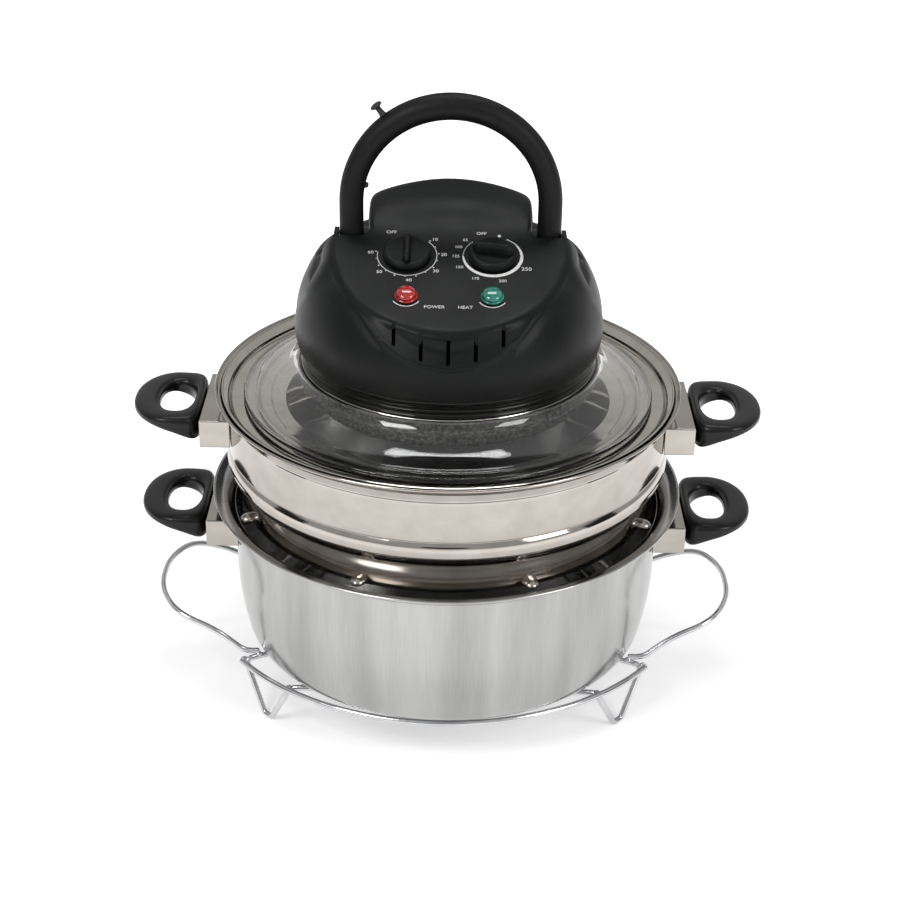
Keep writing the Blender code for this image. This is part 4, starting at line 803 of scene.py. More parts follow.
def make_pot():
    """Lower pot: pressed base with a stepped foot, drawn wall, flared rim with a rolled hem."""
    base, top = POT_LOW.z, POT_HIGH.z
    rim = POT_HIGH.x
    shoulder = base + POT_HEIGHT * POT_SHOULDER_SHARE
    rise = base + POT_HEIGHT - 0.0016 - shoulder
    inner_foot = POT_RADIUS * POT_FOOT_SHARE
    foot = soft_line([
        (0, base + 0.0012), (inner_foot * 0.86, base + 0.0012, 0.002), (inner_foot * 0.88, base, 0.0012),
        (inner_foot, base, 0.0012), (inner_foot * 1.015, base + 0.0010, 0.0014),
        (inner_foot * 1.04, base + 0.0010),
    ])
    wall = [(POT_RADIUS * across, base + POT_HEIGHT * up) for across, up in POT_BODY_SHARES]
    wall += [(POT_RADIUS + POT_FLARE * across, shoulder + rise * up) for across, up in POT_FLARE_SHARES]
    wall = flowing([(inner_foot * 1.04, base + 0.0010)] + wall + [(rim - 0.0016, top - 0.0020)], 6)
    edge = hem((rim - HEM_RADIUS, top - HEM_RADIUS), HEM_RADIUS, -80, 170, 12)
    line = foot + wall[1:]
    outline = line + edge + walled(line, POT_WALL)[len(line):]
    stand_for(lathe("pot_shell", outline, "satin_steel"), "pot", "lower_pot")


def make_ring():
    """Upper ring: neck, rolled shoulder bead, band and flared rim, with dimples that rest on the pot."""
    foot, top = POT_HIGH.z - RING_SINK, RING_HIGH.z
    rim = RING_HIGH.x
    shoulder = flowing([
        (NECK_RADIUS - 0.0010, foot), (NECK_RADIUS, foot + 0.0030), (NECK_RADIUS, foot + 0.0120),
        (NECK_RADIUS, foot + 0.0215), (0.1660, foot + 0.0248), (0.1690, foot + 0.0278),
        (0.1728, foot + 0.0308), (0.1754, foot + 0.0350), (0.1762, foot + 0.0398), (0.1756, foot + 0.0440),
        (0.1742, foot + 0.0466),
    ], 6)
    band = soft_line([
        (0.1742, foot + 0.0466), (0.1736, foot + 0.0474, 0.0006), (0.1744, foot + 0.0486, 0.0006),
        (BAND_RADIUS, foot + 0.0510), (BAND_RADIUS, top - 0.0160, 0.0015),
        (BAND_RADIUS - 0.0006, top - 0.0142, 0.0010), (BAND_RADIUS, top - 0.0124),
    ])
    flare = flowing([
        (BAND_RADIUS, top - 0.0124), (0.1758, top - 0.0084), (0.1778, top - 0.0052), (0.1804, top - 0.0030),
        (rim - 0.0015, top - 0.0020),
    ], 6)
    sheet = shoulder + band[1:] + flare[1:]
    edge = hem((rim - HEM_RADIUS, top - HEM_RADIUS), HEM_RADIUS, -80, 170, 12)
    outline = sheet + edge + walled(sheet, POT_WALL)[len(sheet):]
    shell = lathe("ring_shell", outline, "polished_steel")
    dimples = bmesh.new()
    for count in range(DIMPLE_COUNT):
        angle = math.tau * (count + 0.5) / DIMPLE_COUNT
        made = bmesh.ops.create_uvsphere(dimples, u_segments=32, v_segments=18, radius=1)
        bmesh.ops.scale(dimples, vec=DIMPLE_SIZE, verts=made["verts"])
        place = Matrix.Translation((NECK_RADIUS + DIMPLE_OUT, 0, RING_LOW.z + DIMPLE_RISE))
        place = Matrix.Rotation(angle, 4, "Z") @ place
        bmesh.ops.transform(dimples, matrix=place, verts=made["verts"])
    shell = cut(shell, finished("dimple_tool", mesh_data("dimples", dimples), "polished_steel"), "UNION")
    smooth(shell.data)
    stand_for(shell, "ring", "upper_ring")


def make_adapter():
    """Adapter ring: sloping flange, step, ledge for the glass and two small steps further in."""
    top, low = ADAPTER_HIGH.z, ADAPTER_LOW.z
    outer = ADAPTER_HIGH.x
    line = soft_line([
        (outer - 0.0004, top - 0.0006), (outer - 0.0016, top - 0.0001, 0.0008),
        (STEP_RADIUS + 0.0012, top - 0.0030, 0.0016), (STEP_RADIUS, top - 0.0046, 0.0010),
        (STEP_RADIUS - 0.0010, top - 0.0077, 0.0010),
        (0.1600, top - 0.0080, 0.003), (0.1500, top - 0.0081, 0.0014), (0.1484, top - 0.0098, 0.0012),
        (0.1470, top - 0.0110, 0.0012), (0.1400, top - 0.0112, 0.0014), (0.1386, top - 0.0128, 0.0012),
        (0.1290, low + 0.0012, 0.0010), (0.1278, low + 0.0012),
    ])
    # Painted light: the flange takes the brightened copy of the ring steel.
    flange = lathe("adapter_flange", walled(line, ADAPTER_WALL), "brightened_ledge_steel")
    stand_for(flange, "adapter", "adapter_ring")


def make_brackets_and_handles():
    for tier, body, name in (("lower_pot", "pot", "pot"), ("upper_ring", "ring", "ring")):
        for side, sign in (("right", 1), ("left", -1)):
            make_handle(f"{name}_handle_{side}", f"{tier}_handle_{side}", body, sign)
            make_bracket(f"{name}_bracket_{side}", f"{tier}_bracket_{side}", body, sign)


HOLE_ROOT_SHARE = 0.1395
HOLE_TIP_SHARE = 0.6286
HOLE_HALF_SHARE = 0.5955
HOLE_POWER = 0.9
ROOT_POWER = 0.42
TIP_POWER = 0.92
SECTION_POWER = 0.62
TIP_DEPTH = 0.0075
BRACKET_BEVEL = 0.0011


def powered(value, power):
    """Power of a value that keeps its sign, for rounded squares."""
    return math.copysign(abs(value) ** power, value)


def make_handle(name, node, body, sign):
    """Side handle with an egg-shaped finger hole; its underside rises to a thin tip."""
    low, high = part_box(node)
    root, tip = (low.x, high.x) if sign > 0 else (-high.x, -low.x)
    length = tip - root
    half = high.y
    top = high.z
    deep = high.z - low.z
    hole_root, hole_reach = root + length * HOLE_ROOT_SHARE, root + length * HOLE_TIP_SHARE
    middle = (hole_root + hole_reach) / 2
    hole_half = half * HOLE_HALF_SHARE
    stations, around = 96, 28
    vertices, faces = [], []
    for station in range(stations):
        angle = math.tau * station / stations
        outward = math.cos(angle) >= 0
        reach = tip - middle if outward else middle - root
        blend = 0.5 + 0.5 * math.tanh(5 * math.cos(angle))
        power = ROOT_POWER + (TIP_POWER - ROOT_POWER) * blend
        away, beside = powered(math.cos(angle), power), powered(math.sin(angle), power)
        outer = Vector((middle + reach * away, half * beside))
        inner = Vector((middle + (hole_reach - hole_root) / 2 * powered(math.cos(angle), HOLE_POWER),
                        hole_half * powered(math.sin(angle), HOLE_POWER)))
        for step in range(around):
            turn = math.tau * step / around
            across = 0.5 + 0.5 * powered(math.cos(turn), SECTION_POWER)
            up = 0.5 + 0.5 * powered(math.sin(turn), SECTION_POWER)
            spot = inner.lerp(outer, across)
            share = min(max((spot.x - root) / length, 0), 1)
            depth = TIP_DEPTH + (deep - TIP_DEPTH) * (1 - share) ** 2
            vertices.append((spot.x * sign, spot.y * sign, top - depth + depth * up))
    rows = [range(station * around, (station + 1) * around) for station in range(stations)]
    for row, following in zip(rows, rows[1:] + rows[:1]):
        faces += strip_faces(row, following)
    stand_for(piece_from(name, vertices, faces, "bakelite"), body, node)


def make_bracket(name, node, body, sign):
    """Pressed bracket between the tier's wall and the handle's root, with softened edges."""
    low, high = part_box(node)
    outer = high.x if sign > 0 else -low.x
    wall = (POT_RADIUS if body == "pot" else BAND_RADIUS) + CLEARANCE
    half = high.y
    mesh = bmesh.new()
    steps = 16
    start = math.asin(half / wall)
    angles = [start * (1 - 2 * step / steps) for step in range(steps + 1)]
    line = [(wall * math.cos(angle), wall * math.sin(angle)) for angle in angles]
    line += [(outer, -half), (outer, half)]
    base = mesh.faces.new([mesh.verts.new((x * sign, y, low.z)) for x, y in line])
    made = bmesh.ops.extrude_face_region(mesh, geom=[base])
    raised = [item for item in made["geom"] if isinstance(item, bmesh.types.BMVert)]
    bmesh.ops.translate(mesh, vec=(0, 0, high.z - low.z), verts=raised)
    bracket = finished(name, mesh_data(name, mesh), "polished_steel")
    bevel = soften(bracket, BRACKET_BEVEL)
    bevel.harden_normals = True
    applied(bracket)
    stand_for(bracket, body, node)


# Glass lid and the head's rings

GLASS_NECK = 0.1174
GLASS_WALL = 0.0038
SKIRT_RADIUS = 0.1155
SKIRT_INNER = 0.1111
SKIRT_LIP = 0.1060
GUARD_SLOTS = 12


def make_glass():
    """Glass lid: flat brim, shallow dome and a short upright neck, edges fire-rounded."""
    low, top = GLASS_LOW.z, GLASS_HIGH.z
    rim = GLASS_HIGH.x
    upper = flowing([
        (rim - 0.0022, low + 0.0050), (rim - 0.0080, low + 0.0054), (0.1500, low + 0.0070),
        (0.1420, low + 0.0092), (0.1340, low + 0.0126), (0.1278, low + 0.0162), (0.1228, low + 0.0196),
        (0.1194, low + 0.0230), (0.1178, low + 0.0256), (GLASS_NECK, top - 0.0006),
    ], 5)
    wall = GLASS_WALL
    lower = walled(upper, wall)[len(upper):]
    neck = hem((GLASS_NECK - wall / 2, top - 0.0006), wall / 2, 15, 165, 6)
    edge = hem((rim - 0.0023, low + 0.0029), 0.0022, -105, 80, 8)
    outline = [Vector((point.x, min(max(point.y, low), top))) for point in upper + neck + lower + edge]
    lid = lathe("lid_glass", outline, "clear_glass", sharp=60)
    lid.visible_shadow = False
    stand_for(lid, "head", "glass_lid")


def make_skirt():
    """Gloss black skirt with a rolled lip below and two thin beads."""
    low, top = SKIRT_LOW.z, COVER_LIP
    reach = SKIRT_RADIUS
    outer = soft_line([
        (SKIRT_LIP, low), (reach - 0.0004, low, 0.0008), (reach + 0.0002, low + 0.0022, 0.0006),
        (reach - 0.0006, low + 0.0032, 0.0005), (reach - 0.0006, low + 0.0058, 0.0005),
        (reach + 0.0002, low + 0.0066, 0.0005), (reach - 0.0005, low + 0.0075, 0.0005),
        (reach - 0.0003, low + 0.0108, 0.001), (reach + 0.0010, low + 0.0132, 0.001),
        (reach + 0.0010, top - 0.0003, 0.0004), (reach - 0.0022, top - 0.0003, 0.0003),
        (reach - 0.0022, SKIRT_HIGH.z), (SKIRT_INNER, SKIRT_HIGH.z), (SKIRT_INNER, low + 0.0022),
        (SKIRT_LIP, low + 0.0022),
    ], 4)
    stand_for(lathe("skirt_ring", outer, "gloss_black"), "head", "head_skirt")


def make_guard():
    """Perforated guard cup under the skirt and the ring that holds the glass."""
    low, top = GUARD_LOW.z, GUARD_HIGH.z
    reach = GUARD_HIGH.x
    outer = soft_line([(0.0001, low), (reach - 0.0034, low, 0.003), (reach, low + 0.0034, 0.003),
                       (reach, top)])
    inner = soft_line([(reach - 0.0010, top), (reach - 0.0010, low + 0.0040, 0.003),
                       (reach - 0.0040, low + 0.0010, 0.003), (0.0001, low + 0.0010)])
    outline = [(0, low)] + outer + inner + [(0, low + 0.0010)]
    # Guard cup and retainer band take the steel that is painted dark as shade.
    guard = lathe("guard_cup", outline, "guard_steel", steps=144)
    holes = bmesh.new()
    for count in range(GUARD_SLOTS):
        angle = math.tau * count / GUARD_SLOTS
        made = add_box(holes, (0.0420, -0.0030, low - 0.004), (0.0975, 0.0030, low + 0.004))
        bmesh.ops.rotate(holes, cent=(0, 0, 0), matrix=Matrix.Rotation(angle, 3, "Z"), verts=made)
    guard = cut(guard, finished("hole_tool", mesh_data("holes", holes), "guard_steel"))
    stand_for(guard, "head", "heater_guard")
    outer, low, top = RETAINER_HIGH.x, RETAINER_LOW.z, RETAINER_HIGH.z
    neck = outer - 0.0030
    ring = soft_line([
        (neck - 0.0030, low), (outer - 0.0003, low, 0.0006), (outer, low + 0.0012, 0.0006),
        (neck, low + 0.0030, 0.001), (neck, top), (neck - 0.0030, top),
    ])
    stand_for(lathe("retainer_band", ring, "guard_steel"), "head", "glass_retaining_ring")


# Head cover

EYE = np.array((0.0, -0.030, 0.330))
EDGE_BLEND = 0.0040
HUMP_BLEND = 0.0110
FLANK_BLEND = 0.010
FLOW_BLEND = 0.0095
SHIELD_EDGE = ((0, 0.2346), (0.0185, 0.2380), (0.0300, 0.2425), (0.0405, 0.2492), (0.0510, 0.2592),
               (0.0597, 0.2713), (0.0662, 0.2820), (0.0735, 0.2955), (0.0790, 0.3103), (0.0822, 0.3228),
               (0.0835, 0.3400), (0.0835, 0.3560))
CHEEK_EDGE = ((0.1175, 0.2760), (0.1120, 0.2850), (0.1040, 0.2895), (0.0950, 0.2900), (0.0860, 0.2850),
              (0.0770, 0.2760), (0.0680, 0.2650), (0.0590, 0.2530), (0.0480, 0.2420))
EAR_RIB = ((0.0890, 0.3440), (0.0905, 0.3330), (0.0900, 0.3215), (0.0940, 0.3110), (0.1010, 0.3020),
           (0.1092, 0.2970))
EAR_PATCH = ((0.0955, 0.3340), (0.0945, 0.3170), (0.1060, 0.3000), (0.1085, 0.3105), (0.1030, 0.3290))


def smooth_most(first, second, blend):
    """Larger of two distances with a round join."""
    overlap = np.maximum(blend - np.abs(first - second), 0) / blend
    return np.maximum(first, second) + overlap ** 2 * blend / 4


def smooth_least(first, second, blend):
    return -smooth_most(-first, -second, blend)


def eased(value):
    """Smooth step of a value from 0 to 1."""
    value = np.clip(value, 0, 1)
    return value * value * (3 - 2 * value)


def panel_distance(y, z):
    rise = z - PANEL_FRONT_HEIGHT - (PANEL_FRONT_REACH + y) * math.tan(PANEL_PITCH)
    return rise * math.cos(PANEL_PITCH)


def pitched(value, pitch, z):
    """Distance to a face that falls away from the hump's top beyond a line, by its pitch."""
    return value * math.sin(pitch) + (z - HUMP_TOP) * math.cos(pitch)


def cover_distance(x, y, z, inset=0.0):
    """About how far a point lies outside the cover's form, in metres."""
    lift = np.maximum(z - COVER_WIDEST, 0)
    drop = np.maximum(COVER_WIDEST - z, 0)
    radius = COVER_RADIUS - COVER_TUCK * (drop / COVER_WAIST) ** 2
    dome = ((np.hypot(x, y) / radius) ** 2 + (lift / COVER_RISE) ** (1 / COVER_POWER) - 1) * COVER_RADIUS / 2
    panel = panel_distance(y, z)
    ends = np.where(y > BAIL_LEG_HEIGHT, np.hypot(x, y - BAIL_LEG_HEIGHT), np.abs(x))
    ends = ends - HUMP_RADIUS + CLEARANCE
    step = smooth_least(smooth_least(y - DECK_FRONT, z - DECK_HEIGHT, EDGE_BLEND), ends, EDGE_BLEND)
    base = smooth_most(smooth_most(dome, panel, EDGE_BLEND), step, EDGE_BLEND)
    front_height = PANEL_FRONT_HEIGHT + (PANEL_FRONT_REACH + HUMP_FRONT) * math.tan(PANEL_PITCH)
    front = (HUMP_FRONT - y + z - front_height) / math.sqrt(2)
    rear = pitched(y - HUMP_REAR_START, HUMP_REAR_PITCH, z)
    flank = pitched(np.abs(x) - HUMP_SIDE_START, HUMP_SIDE_PITCH, z)
    top = smooth_most(z - HUMP_TOP, flank, FLANK_BLEND)
    crown = smooth_most(top, smooth_most(front, rear, HUMP_BLEND), HUMP_BLEND)
    hump = smooth_most(crown, ends, HUMP_BLEND)
    return smooth_least(base, hump, FLOW_BLEND) + inset


def chart_line(points):
    return [tuple(point) for point in flowing(points, 4)]


def chart_distance(u, v, line):
    """Distance of chart points to a line of chart points."""
    best = np.full(u.shape, 1.0)
    for (u0, v0), (u1, v1) in zip(line, line[1:]):
        du, dv = u1 - u0, v1 - v0
        t = np.clip(((u - u0) * du + (v - v0) * dv) / (du * du + dv * dv), 0, 1)
        best = np.minimum(best, np.hypot(u - u0 - t * du, v - v0 - t * dv))
    return best


def chart_inside(u, v, outline):
    inside = np.zeros(u.shape, bool)
    for (u0, v0), (u1, v1) in zip(outline, outline[1:] + outline[:1]):
        crosses = (v0 > v) != (v1 > v)
        run = u0 + (v - v0) / (v1 - v0 if v1 != v0 else 1) * (u1 - u0)
        inside ^= crosses & (u < run)
    return inside


def cover_relief(x, y, z):
    """Height of the moulded relief over the plain form: the shield's edge, its dish, cheeks and ears."""
    u = np.abs(x)
    v = y * math.sin(VIEW_PITCH) + z * math.cos(VIEW_PITCH)
    front = eased((0.012 - y) / 0.012)
    edge = chart_line(SHIELD_EDGE)
    inside = chart_inside(u, v, edge + [(0.0, 0.3560)])
    depth = np.where(inside, 1.0, -1.0) * chart_distance(u, v, edge)
    panel = panel_distance(y, z)
    below = eased((-panel - 0.0005) / 0.0040)
    relief = 0.0012 * np.exp(-(depth / 0.0022) ** 2) * below
    relief -= 0.0020 * np.sin(math.pi * np.clip((depth - 0.0020) / 0.0190, 0, 1)) ** 2 * below
    cheek = chart_line(CHEEK_EDGE)
    above = chart_inside(u, v, cheek + [(0.0480, 0.3800), (0.1300, 0.3800), (0.1300, 0.2760)])
    rise = np.where(above, chart_distance(u, v, cheek), 0)
    relief -= 0.0011 * eased(rise / 0.0080) * (1 - eased((rise - 0.008) / 0.024)) * (depth < 0) * below
    rib = chart_distance(u, v, chart_line(EAR_RIB))
    relief += 0.0012 * np.exp(-(rib / 0.0050) ** 2) * eased((0.120 - u) / 0.02)
    ear = list(EAR_PATCH)
    patch = np.where(chart_inside(u, v, ear), chart_distance(u, v, ear + ear[:1]), 0)
    relief -= 0.0022 * eased(patch / 0.0060)
    return relief * front


def cover_surface(name, rows, columns, inset, low, relief=False):
    """Closed mesh of the cover's form: rays from inside meet the form, and a fan shuts the bottom."""
    radius = COVER_RADIUS - inset
    profile = [(radius - COVER_TUCK * ((COVER_WIDEST - z) / COVER_WAIST) ** 2, z)
               for z in np.linspace(COVER_LIP, COVER_WIDEST, 12)]
    shares = np.sin(np.linspace(0, math.pi / 2, 60))[::-1]
    profile += [(radius * share, COVER_WIDEST + (COVER_RISE - inset) * (1 - share ** 2) ** COVER_POWER)
                for share in shares[1:]]
    profile = np.array(profile)
    steps = np.concatenate([[0], np.cumsum(np.hypot(*np.diff(profile, axis=0).T))])
    spread = np.linspace(0, steps[-1], rows + 1)[:-1]
    reach = np.interp(spread, steps, profile[:, 0])
    height = np.interp(spread, steps, profile[:, 1])
    angles = np.linspace(0, math.tau, columns, endpoint=False)
    guide = np.stack([np.outer(reach, np.cos(angles)), np.outer(reach, np.sin(angles)),
                      np.repeat(height[:, None], columns, axis=1)], axis=-1)
    guide = np.concatenate([guide.reshape(-1, 3), [(0, 0, profile[-1, 1])]])
    way = guide - EYE
    near = np.full(len(way), 0.12)
    far = np.full(len(way), 1.35)
    for _ in range(34):
        middle = (near + far) / 2
        spots = EYE + way * middle[:, None]
        outside = cover_distance(*spots.T, inset) > 0
        far = np.where(outside, middle, far)
        near = np.where(outside, near, middle)
    near[:columns] = 1.0
    spots = EYE + way * near[:, None]
    if relief:
        shift = 0.0002
        slope = np.stack([cover_distance(*(spots + offset).T, inset)
                          - cover_distance(*(spots - offset).T, inset)
                          for offset in np.eye(3) * shift], axis=-1)
        slope /= np.linalg.norm(slope, axis=1, keepdims=True)
        height = cover_relief(*spots.T)
        spots = spots + slope * (np.minimum(height, 0) if inset else height)[:, None]
    spots[:columns, 2] = low
    vertices = np.concatenate([spots, [(0, 0, low)]])
    top, bottom = rows * columns, rows * columns + 1
    faces = []
    for start in range(0, top - columns, columns):
        faces += strip_faces(range(start, start + columns), range(start + columns, start + 2 * columns))
    last = (rows - 1) * columns
    faces += [(last + column, last + (column + 1) % columns, top) for column in range(columns)]
    faces += [(column, bottom, (column + 1) % columns) for column in range(columns)]
    return piece_from(name, vertices, faces, "matte_black", sharp=50)


def cover_cuts():
    """Vent slots in front and behind, stem and lens holes, pivot pockets and the inlet's hole."""
    mesh = bmesh.new()
    for count in range(VENT_COUNT):
        across = VENT_SPACING * (count - (VENT_COUNT - 1) / 2)
        edge = math.sqrt(COVER_RADIUS ** 2 - across ** 2)
        place = abs(count - VENT_COUNT // 2)
        low = (across - VENT_WIDTH / 2, -edge - 0.006, COVER_WIDEST + VENT_LOW_RISES[place])
        high = (across + VENT_WIDTH / 2, -edge + VENT_REACHES[place], PANEL_FRONT_HEIGHT + 0.006)
        add_box(mesh, low, high)
    for count in range(REAR_VENT_COUNT):
        across = REAR_VENT_SPACING * (count - REAR_VENT_COUNT // 2)
        top = COVER_WIDEST + 0.0350
        low = (across - 0.0015, COVER_RADIUS * 0.75, top - 0.0120)
        add_box(mesh, low, (across + 0.0015, COVER_RADIUS * 1.2, top))
    for reach, spread, radius in ((KNOB_REACH, KNOB_SPREAD, 0.0043), (LENS_REACH, LENS_SPREAD, 0.0063)):
        for side in (-1, 1):
            place = panel_place(side * spread, reach)
            bmesh.ops.create_cone(mesh, cap_ends=True, segments=48, radius1=radius, radius2=radius,
                                  depth=0.012, matrix=place)
    for side in ("left", "right"):
        low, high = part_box(f"pivot_seat_{side}")
        corner = (high.x + CLEARANCE, high.y + CLEARANCE, HUMP_TOP)
        add_box(mesh, [value - CLEARANCE for value in low], corner)
    low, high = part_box("power_inlet")
    add_box(mesh, (low.x - CLEARANCE, low.y - 0.01, low.z - CLEARANCE),
            (high.x + CLEARANCE, high.y + 0.004, high.z + CLEARANCE))
    return finished("cut_tool", mesh_data("cuts", mesh), "matte_black")


def make_cover():
    rows, columns = ((190, 640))
    cover = cover_surface("cover_shell", rows, columns, 0.0, COVER_LIP, relief=True)
    room = cover_surface("cover_room", 100, 300, COVER_WALL, COVER_LIP - 0.004, relief=True)
    cut(cover, room)
    cut(cover, cover_cuts())
    smooth(cover.data, 42)
    stand_for(cover, "head", "head_cover")


# Bail handle

BAIL_THICKNESS = 0.0092
PEG_ANGLE = math.radians(127)
NUB_RISE = 0.0450


def facing(foot, way):
    """Matrix that stands a turned piece on a foot, with its axis along a way."""
    turn = Vector((0, 0, 1)).rotation_difference(way)
    return Matrix.Translation(foot) @ turn.to_matrix().to_4x4()


def make_bail():
    """Bail: two upright legs and a round arch, with rounded cams at the pivots."""
    radius = BAIL_HIGH.x - BAIL_THICKNESS
    drop = PIVOT_HEIGHT - BAIL_LOW.z
    path, radii = [], []
    for step in range(10):
        share = math.cos(math.pi / 2 * step / 10)
        path.append((-radius, 0, PIVOT_HEIGHT - drop * share))
        radii.append(BAIL_THICKNESS * max(math.sqrt(1 - share ** 2), 0.10))
    for step in range(6):
        path.append((-radius, 0, PIVOT_HEIGHT + BAIL_LEG_HEIGHT * step / 6))
        radii.append(BAIL_THICKNESS)
    for step in range(65):
        angle = math.pi - math.pi * step / 64
        path.append((radius * math.cos(angle), 0, PIVOT_HEIGHT + BAIL_LEG_HEIGHT + radius * math.sin(angle)))
        radii.append(BAIL_THICKNESS + 0.0009 * math.sin(angle) ** 2)
    count = 16
    path += [(-x, y, z) for x, y, z in path[:count][::-1]]
    radii += radii[:count][::-1]
    bail = tube("bail_tube", path, radii, "grip_black", sides=40)
    stand_for(bail, "bail", "bail_handle")
    angle = PEG_ANGLE
    centre = Vector((0, 0, PIVOT_HEIGHT + BAIL_LEG_HEIGHT))
    outward = Vector((math.cos(angle), 0, math.sin(angle)))
    foot = centre + outward * (radius + 0.0097)
    peg = lathe("peg_button", soft_line([
        (0, 0), (0.0030, 0, 0.0006), (0.0024, 0.0016, 0.001), (0.0020, 0.0066, 0.001),
        (0.0046, 0.0078, 0.0012), (0.0049, 0.0090, 0.0010), (0.0034, 0.0102, 0.0016), (0, 0.0105),
    ]), "rubber", steps=40)
    peg.matrix_world = facing(foot, outward)
    stand_for(peg, "bail", "bail_peg")
    angle = math.asin((NUB_RISE - BAIL_LEG_HEIGHT) / radius)
    inward = Vector((math.cos(angle), 0, -math.sin(angle)))
    foot = centre - inward * (radius - 0.0093)
    nub = lathe("nub_button", soft_line([
        (0, -0.0003), (0.0024, -0.0003, 0.0003), (0.0022, 0.0014, 0.0008), (0.0014, 0.0023, 0.0006),
        (0, 0.0024),
    ]), "rubber", steps=32)
    nub.matrix_world = facing(foot, inward)
    stand_for(nub, "bail", "bail_nub")


# Controls

INK_LIFT = 0.00012
INK_GAP = 0.00003
SCALE_RADIUS = 0.0225
TIMER_MARKS = 12
KNOB_RADIUS = 0.0182
KNOB_HEIGHT = 0.0060
KNOB_LIFT = 0.0004
KNURL_COUNT = 40
GRIP_SECTION = ((-1, 0), (-0.96, 0.35), (-0.84, 0.72), (-0.66, 0.92), (-0.35, 1.0), (0, 1.02),
                (0.35, 1.0), (0.66, 0.92), (0.84, 0.72), (0.96, 0.35), (1, 0))


def make_knob(name, node, body, side, turn):
    """Control knob: knurled skirt, dished face and a waisted grip bar."""
    radius, height = KNOB_RADIUS, KNOB_HEIGHT
    base = lathe(name, soft_line([
        (0, -0.0098), (0.0040, -0.0098, 0.0004), (0.0040, 0.0002, 0.0002), (radius - 0.0006, 0.0002, 0.0004),
        (radius, 0.0010, 0.0006), (radius * 0.985, 0.0030, 0.0006), (radius * 0.94, 0.0047, 0.0010),
        (radius * 0.84, height * 0.90, 0.0012), (radius * 0.60, height * 0.80, 0.002), (0, height * 0.74),
    ]), "matte_black", steps=120)
    for vertex in base.data.vertices:
        reach = math.hypot(vertex.co.x, vertex.co.y)
        if reach > radius * 0.9 and 0.0005 < vertex.co.z < 0.0045:
            angle = math.atan2(vertex.co.y, vertex.co.x)
            swell = 1 - 0.012 * (0.5 + 0.5 * math.cos(angle * KNURL_COUNT))
            vertex.co.x *= swell
            vertex.co.y *= swell
    mesh = bmesh.new()
    reach = radius * 0.86
    stations = 29
    loops = []
    for station in range(stations):
        along = 2 * station / (stations - 1) - 1
        half = 0.0040 * (0.80 + 0.20 * along ** 2) * math.sqrt(max(1 - abs(along) ** 7, 0.02))
        top = height + 0.0065 - 0.0010 * along ** 2 - 0.0030 * max(abs(along) - 0.75, 0) / 0.25
        loop = []
        for across, up in GRIP_SECTION:
            place = (across * half * (1 - 0.30 * up), along * reach, 0.0030 + (top - 0.0030) * up)
            loop.append(mesh.verts.new(place))
        loops.append(loop)
    for first, second in zip(loops, loops[1:]):
        for face in strip_faces(first, second):
            mesh.faces.new(face)
    mesh.faces.new(loops[0])
    mesh.faces.new(loops[-1][::-1])
    bmesh.ops.rotate(mesh, cent=(0, 0, 0), matrix=Matrix.Rotation(turn, 3, "Z"), verts=mesh.verts)
    grip = finished(f"{name}_bar", mesh_data("grip", mesh), "matte_black")
    cut(base, grip, "UNION", "EXACT")
    smooth(base.data, 40)
    base.matrix_world = panel_place(side * KNOB_SPREAD, KNOB_REACH, KNOB_LIFT)
    stand_for(base, body, node)


def make_lens(name, node, side, paint):
    """Lamp lens: round dome over a rimmed foot."""
    lens_piece = lathe(name, soft_line([
        (0, -0.0088), (0.0059, -0.0088, 0.0004), (0.0059, 0.0000), (0.0085, 0.0000, 0.0003),
        (0.0085, 0.0010, 0.0004), (0.0078, 0.0013, 0.0003), (0.0075, 0.0036, 0.0014),
        (0.0061, 0.0051, 0.0022), (0.0032, 0.0060, 0.0022), (0, 0.0062),
    ], 6), paint, steps=96)
    lens_piece.matrix_world = panel_place(side * LENS_SPREAD, LENS_REACH, CLEARANCE)
    stand_for(lens_piece, "head", node)


def dot(mesh, spot, size, segments):
    """Small round dot of ink."""
    made = bmesh.ops.create_cone(mesh, cap_ends=True, segments=segments, radius1=size, radius2=size,
                                 depth=INK_LIFT)
    bmesh.ops.translate(mesh, vec=(*spot, INK_LIFT / 2), verts=made["verts"])


def arc_strip(mesh, centre, inner, outer, start, end, lift=INK_LIFT):
    """Thin raised arc of ink; angles in degrees, counted from +X of the panel."""
    steps = max(int(abs(end - start) / 3), 4)
    rows = []
    for step in range(steps + 1):
        angle = math.radians(start + (end - start) * step / steps)
        near = inner(step / steps) if callable(inner) else inner
        rows.append([(centre[0] + reach * math.cos(angle), centre[1] + reach * math.sin(angle), height)
                     for reach, height in ((near, 0), (outer, 0), (outer, lift), (near, lift))])
    corners = [[mesh.verts.new(spot) for spot in row] for row in rows]
    for first, second in zip(corners, corners[1:]):
        for face in strip_faces(first, second):
            mesh.faces.new(face)
    mesh.faces.new(corners[0][::-1])
    mesh.faces.new(corners[-1])


def words(mesh, text, place, size, lift=INK_LIFT):
    """Flat lettering on the panel, centred at a place."""
    data = bpy.data.curves.new("words", "FONT")
    data.body = text
    data.size = size
    data.align_x = "CENTER"
    data.align_y = "CENTER"
    data.extrude = lift / 2
    data.resolution_u = 3
    holder = bpy.data.objects.new("words", data)
    bpy.context.scene.collection.objects.link(holder)
    graph = bpy.context.evaluated_depsgraph_get()
    made = bpy.data.meshes.new_from_object(holder.evaluated_get(graph))
    made.transform(Matrix.Translation((place[0], place[1], lift / 2)))
    mesh.from_mesh(made)
    bpy.data.objects.remove(holder, do_unlink=True)


def printed(name, mesh, across, reach):
    bmesh.ops.remove_doubles(mesh, verts=mesh.verts, dist=0.0000005)
    sheet = finished(name, mesh_data(name, mesh), "printed_ink")
    sheet.matrix_world = panel_place(across, reach, INK_GAP)
    stand_for(sheet, "head")


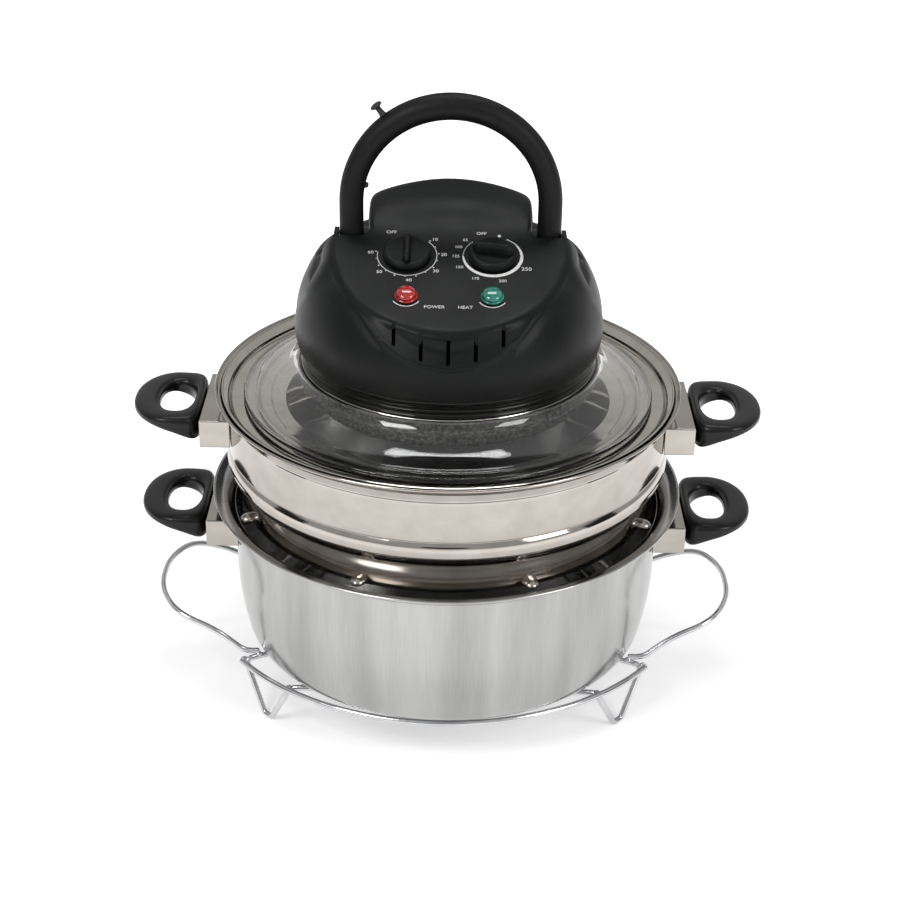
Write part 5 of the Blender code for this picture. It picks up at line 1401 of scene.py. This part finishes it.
def dial_words(mesh, reach, size, values):
    for value, angle in values:
        turn = math.radians(angle)
        words(mesh, str(value), (reach * math.cos(turn), reach * math.sin(turn)), size)


def make_prints():
    """Dial scales, plain numbers and the two lamp words on the panel."""
    ring = SCALE_RADIUS
    mesh = bmesh.new()
    arc_strip(mesh, (0, 0), ring - 0.0005, ring, -190, 45)
    for count in range(TIMER_MARKS + 1):
        turn = math.radians(-190 + 235 * count / TIMER_MARKS)
        out, size = (0.0013, 0.00060) if count % 2 == 0 else (0.0007, 0.00045)
        reach = ring + out
        dot(mesh, (reach * math.cos(turn), reach * math.sin(turn)), size, 10)
    minutes = ((10, 42), (20, 3), (30, -38), (40, -86), (50, -137), (60, -186))
    dial_words(mesh, ring + 0.0050, 0.0046, minutes)
    words(mesh, "OFF", (-0.0125, 0.0262), 0.0046)
    printed("timer_scale", mesh, -KNOB_SPREAD, KNOB_REACH)

    mesh = bmesh.new()
    swelling = lambda share: ring - 0.0005 - 0.0021 * math.sin(math.pi * min(share * 1.1, 1)) ** 0.5
    arc_strip(mesh, (0, 0), swelling, ring + 0.0002, -182, 62)
    arc_strip(mesh, (0, 0), ring - 0.0004, ring, 132, 176)
    scale = ((65, 138), (100, 158), (125, 180), (150, 206), (175, 242), (200, 285))
    dial_words(mesh, ring + 0.0052, 0.0040, scale)
    dial_words(mesh, ring + 0.0058, 0.0052, ((250, 332),))
    dot(mesh, (0.0050, ring + 0.0012), 0.0013, 24)
    words(mesh, "OFF", (-0.0085, ring + 0.0036), 0.0044)
    printed("thermostat_scale", mesh, KNOB_SPREAD, KNOB_REACH)

    mesh = bmesh.new()
    for side in (-1, 1):
        arc_strip(mesh, (side * LENS_SPREAD, 0), 0.0104, 0.0111, -150, -30)
    words(mesh, "POWER", (-0.0108, -0.0112), 0.0044)
    words(mesh, "HEAT", (0.0118, -0.0112), 0.0044)
    printed("lamp_words", mesh, 0, LENS_REACH)


# Pieces that keep the frame's solid

KEPT = {
    "heat_shield": ("plated_steel", 0.0003),
    "halogen_lamp": ("quartz", 0),
    "lamp_holder_left": ("ceramic", 0.0009),
    "lamp_holder_right": ("ceramic", 0.0009),
    "fan_motor": ("plated_steel", 0.0008),
    "motor_bracket": ("plated_steel", 0.0005),
    "timer_body": ("gloss_black", 0.0012),
    "thermostat_body": ("plated_steel", 0.0008),
    "handle_switch": ("gloss_black", 0.0007),
    "power_inlet": ("gloss_black", 0.0008),
    "pivot_seat_left": ("matte_black", 0.0007),
    "pivot_seat_right": ("matte_black", 0.0007),
    "pivot_pin_left": ("plated_steel", 0.0003),
    "pivot_pin_right": ("plated_steel", 0.0003),
    "fan_shaft": ("plated_steel", 0.0003),
    "convection_fan": ("plated_steel", 0.0002),
    "cooling_fan": ("matte_black", 0.0002),
    "switch_plunger": ("red_lens", 0.0003),
}


def dress_kept():
    for node, (paint, width) in KEPT.items():
        piece = NODES[node]
        piece.data.materials.clear()
        piece.data.materials.append(PAINTS[paint])
        if width:
            soften(piece, width, 40)


set_studio()
make_stand()
make_pot()
make_ring()
make_adapter()
make_brackets_and_handles()
make_glass()
make_skirt()
make_guard()
make_cover()
make_bail()
make_knob("timer_dial", "timer_knob", "timer", -1, 0.0)
make_knob("thermostat_dial", "thermostat_knob", "thermostat", 1, math.radians(-100))
make_lens("power_lamp", "power_lens", -1, "red_lens")
make_lens("heat_lamp", "heat_lens", 1, "green_lens")
make_prints()
dress_kept()
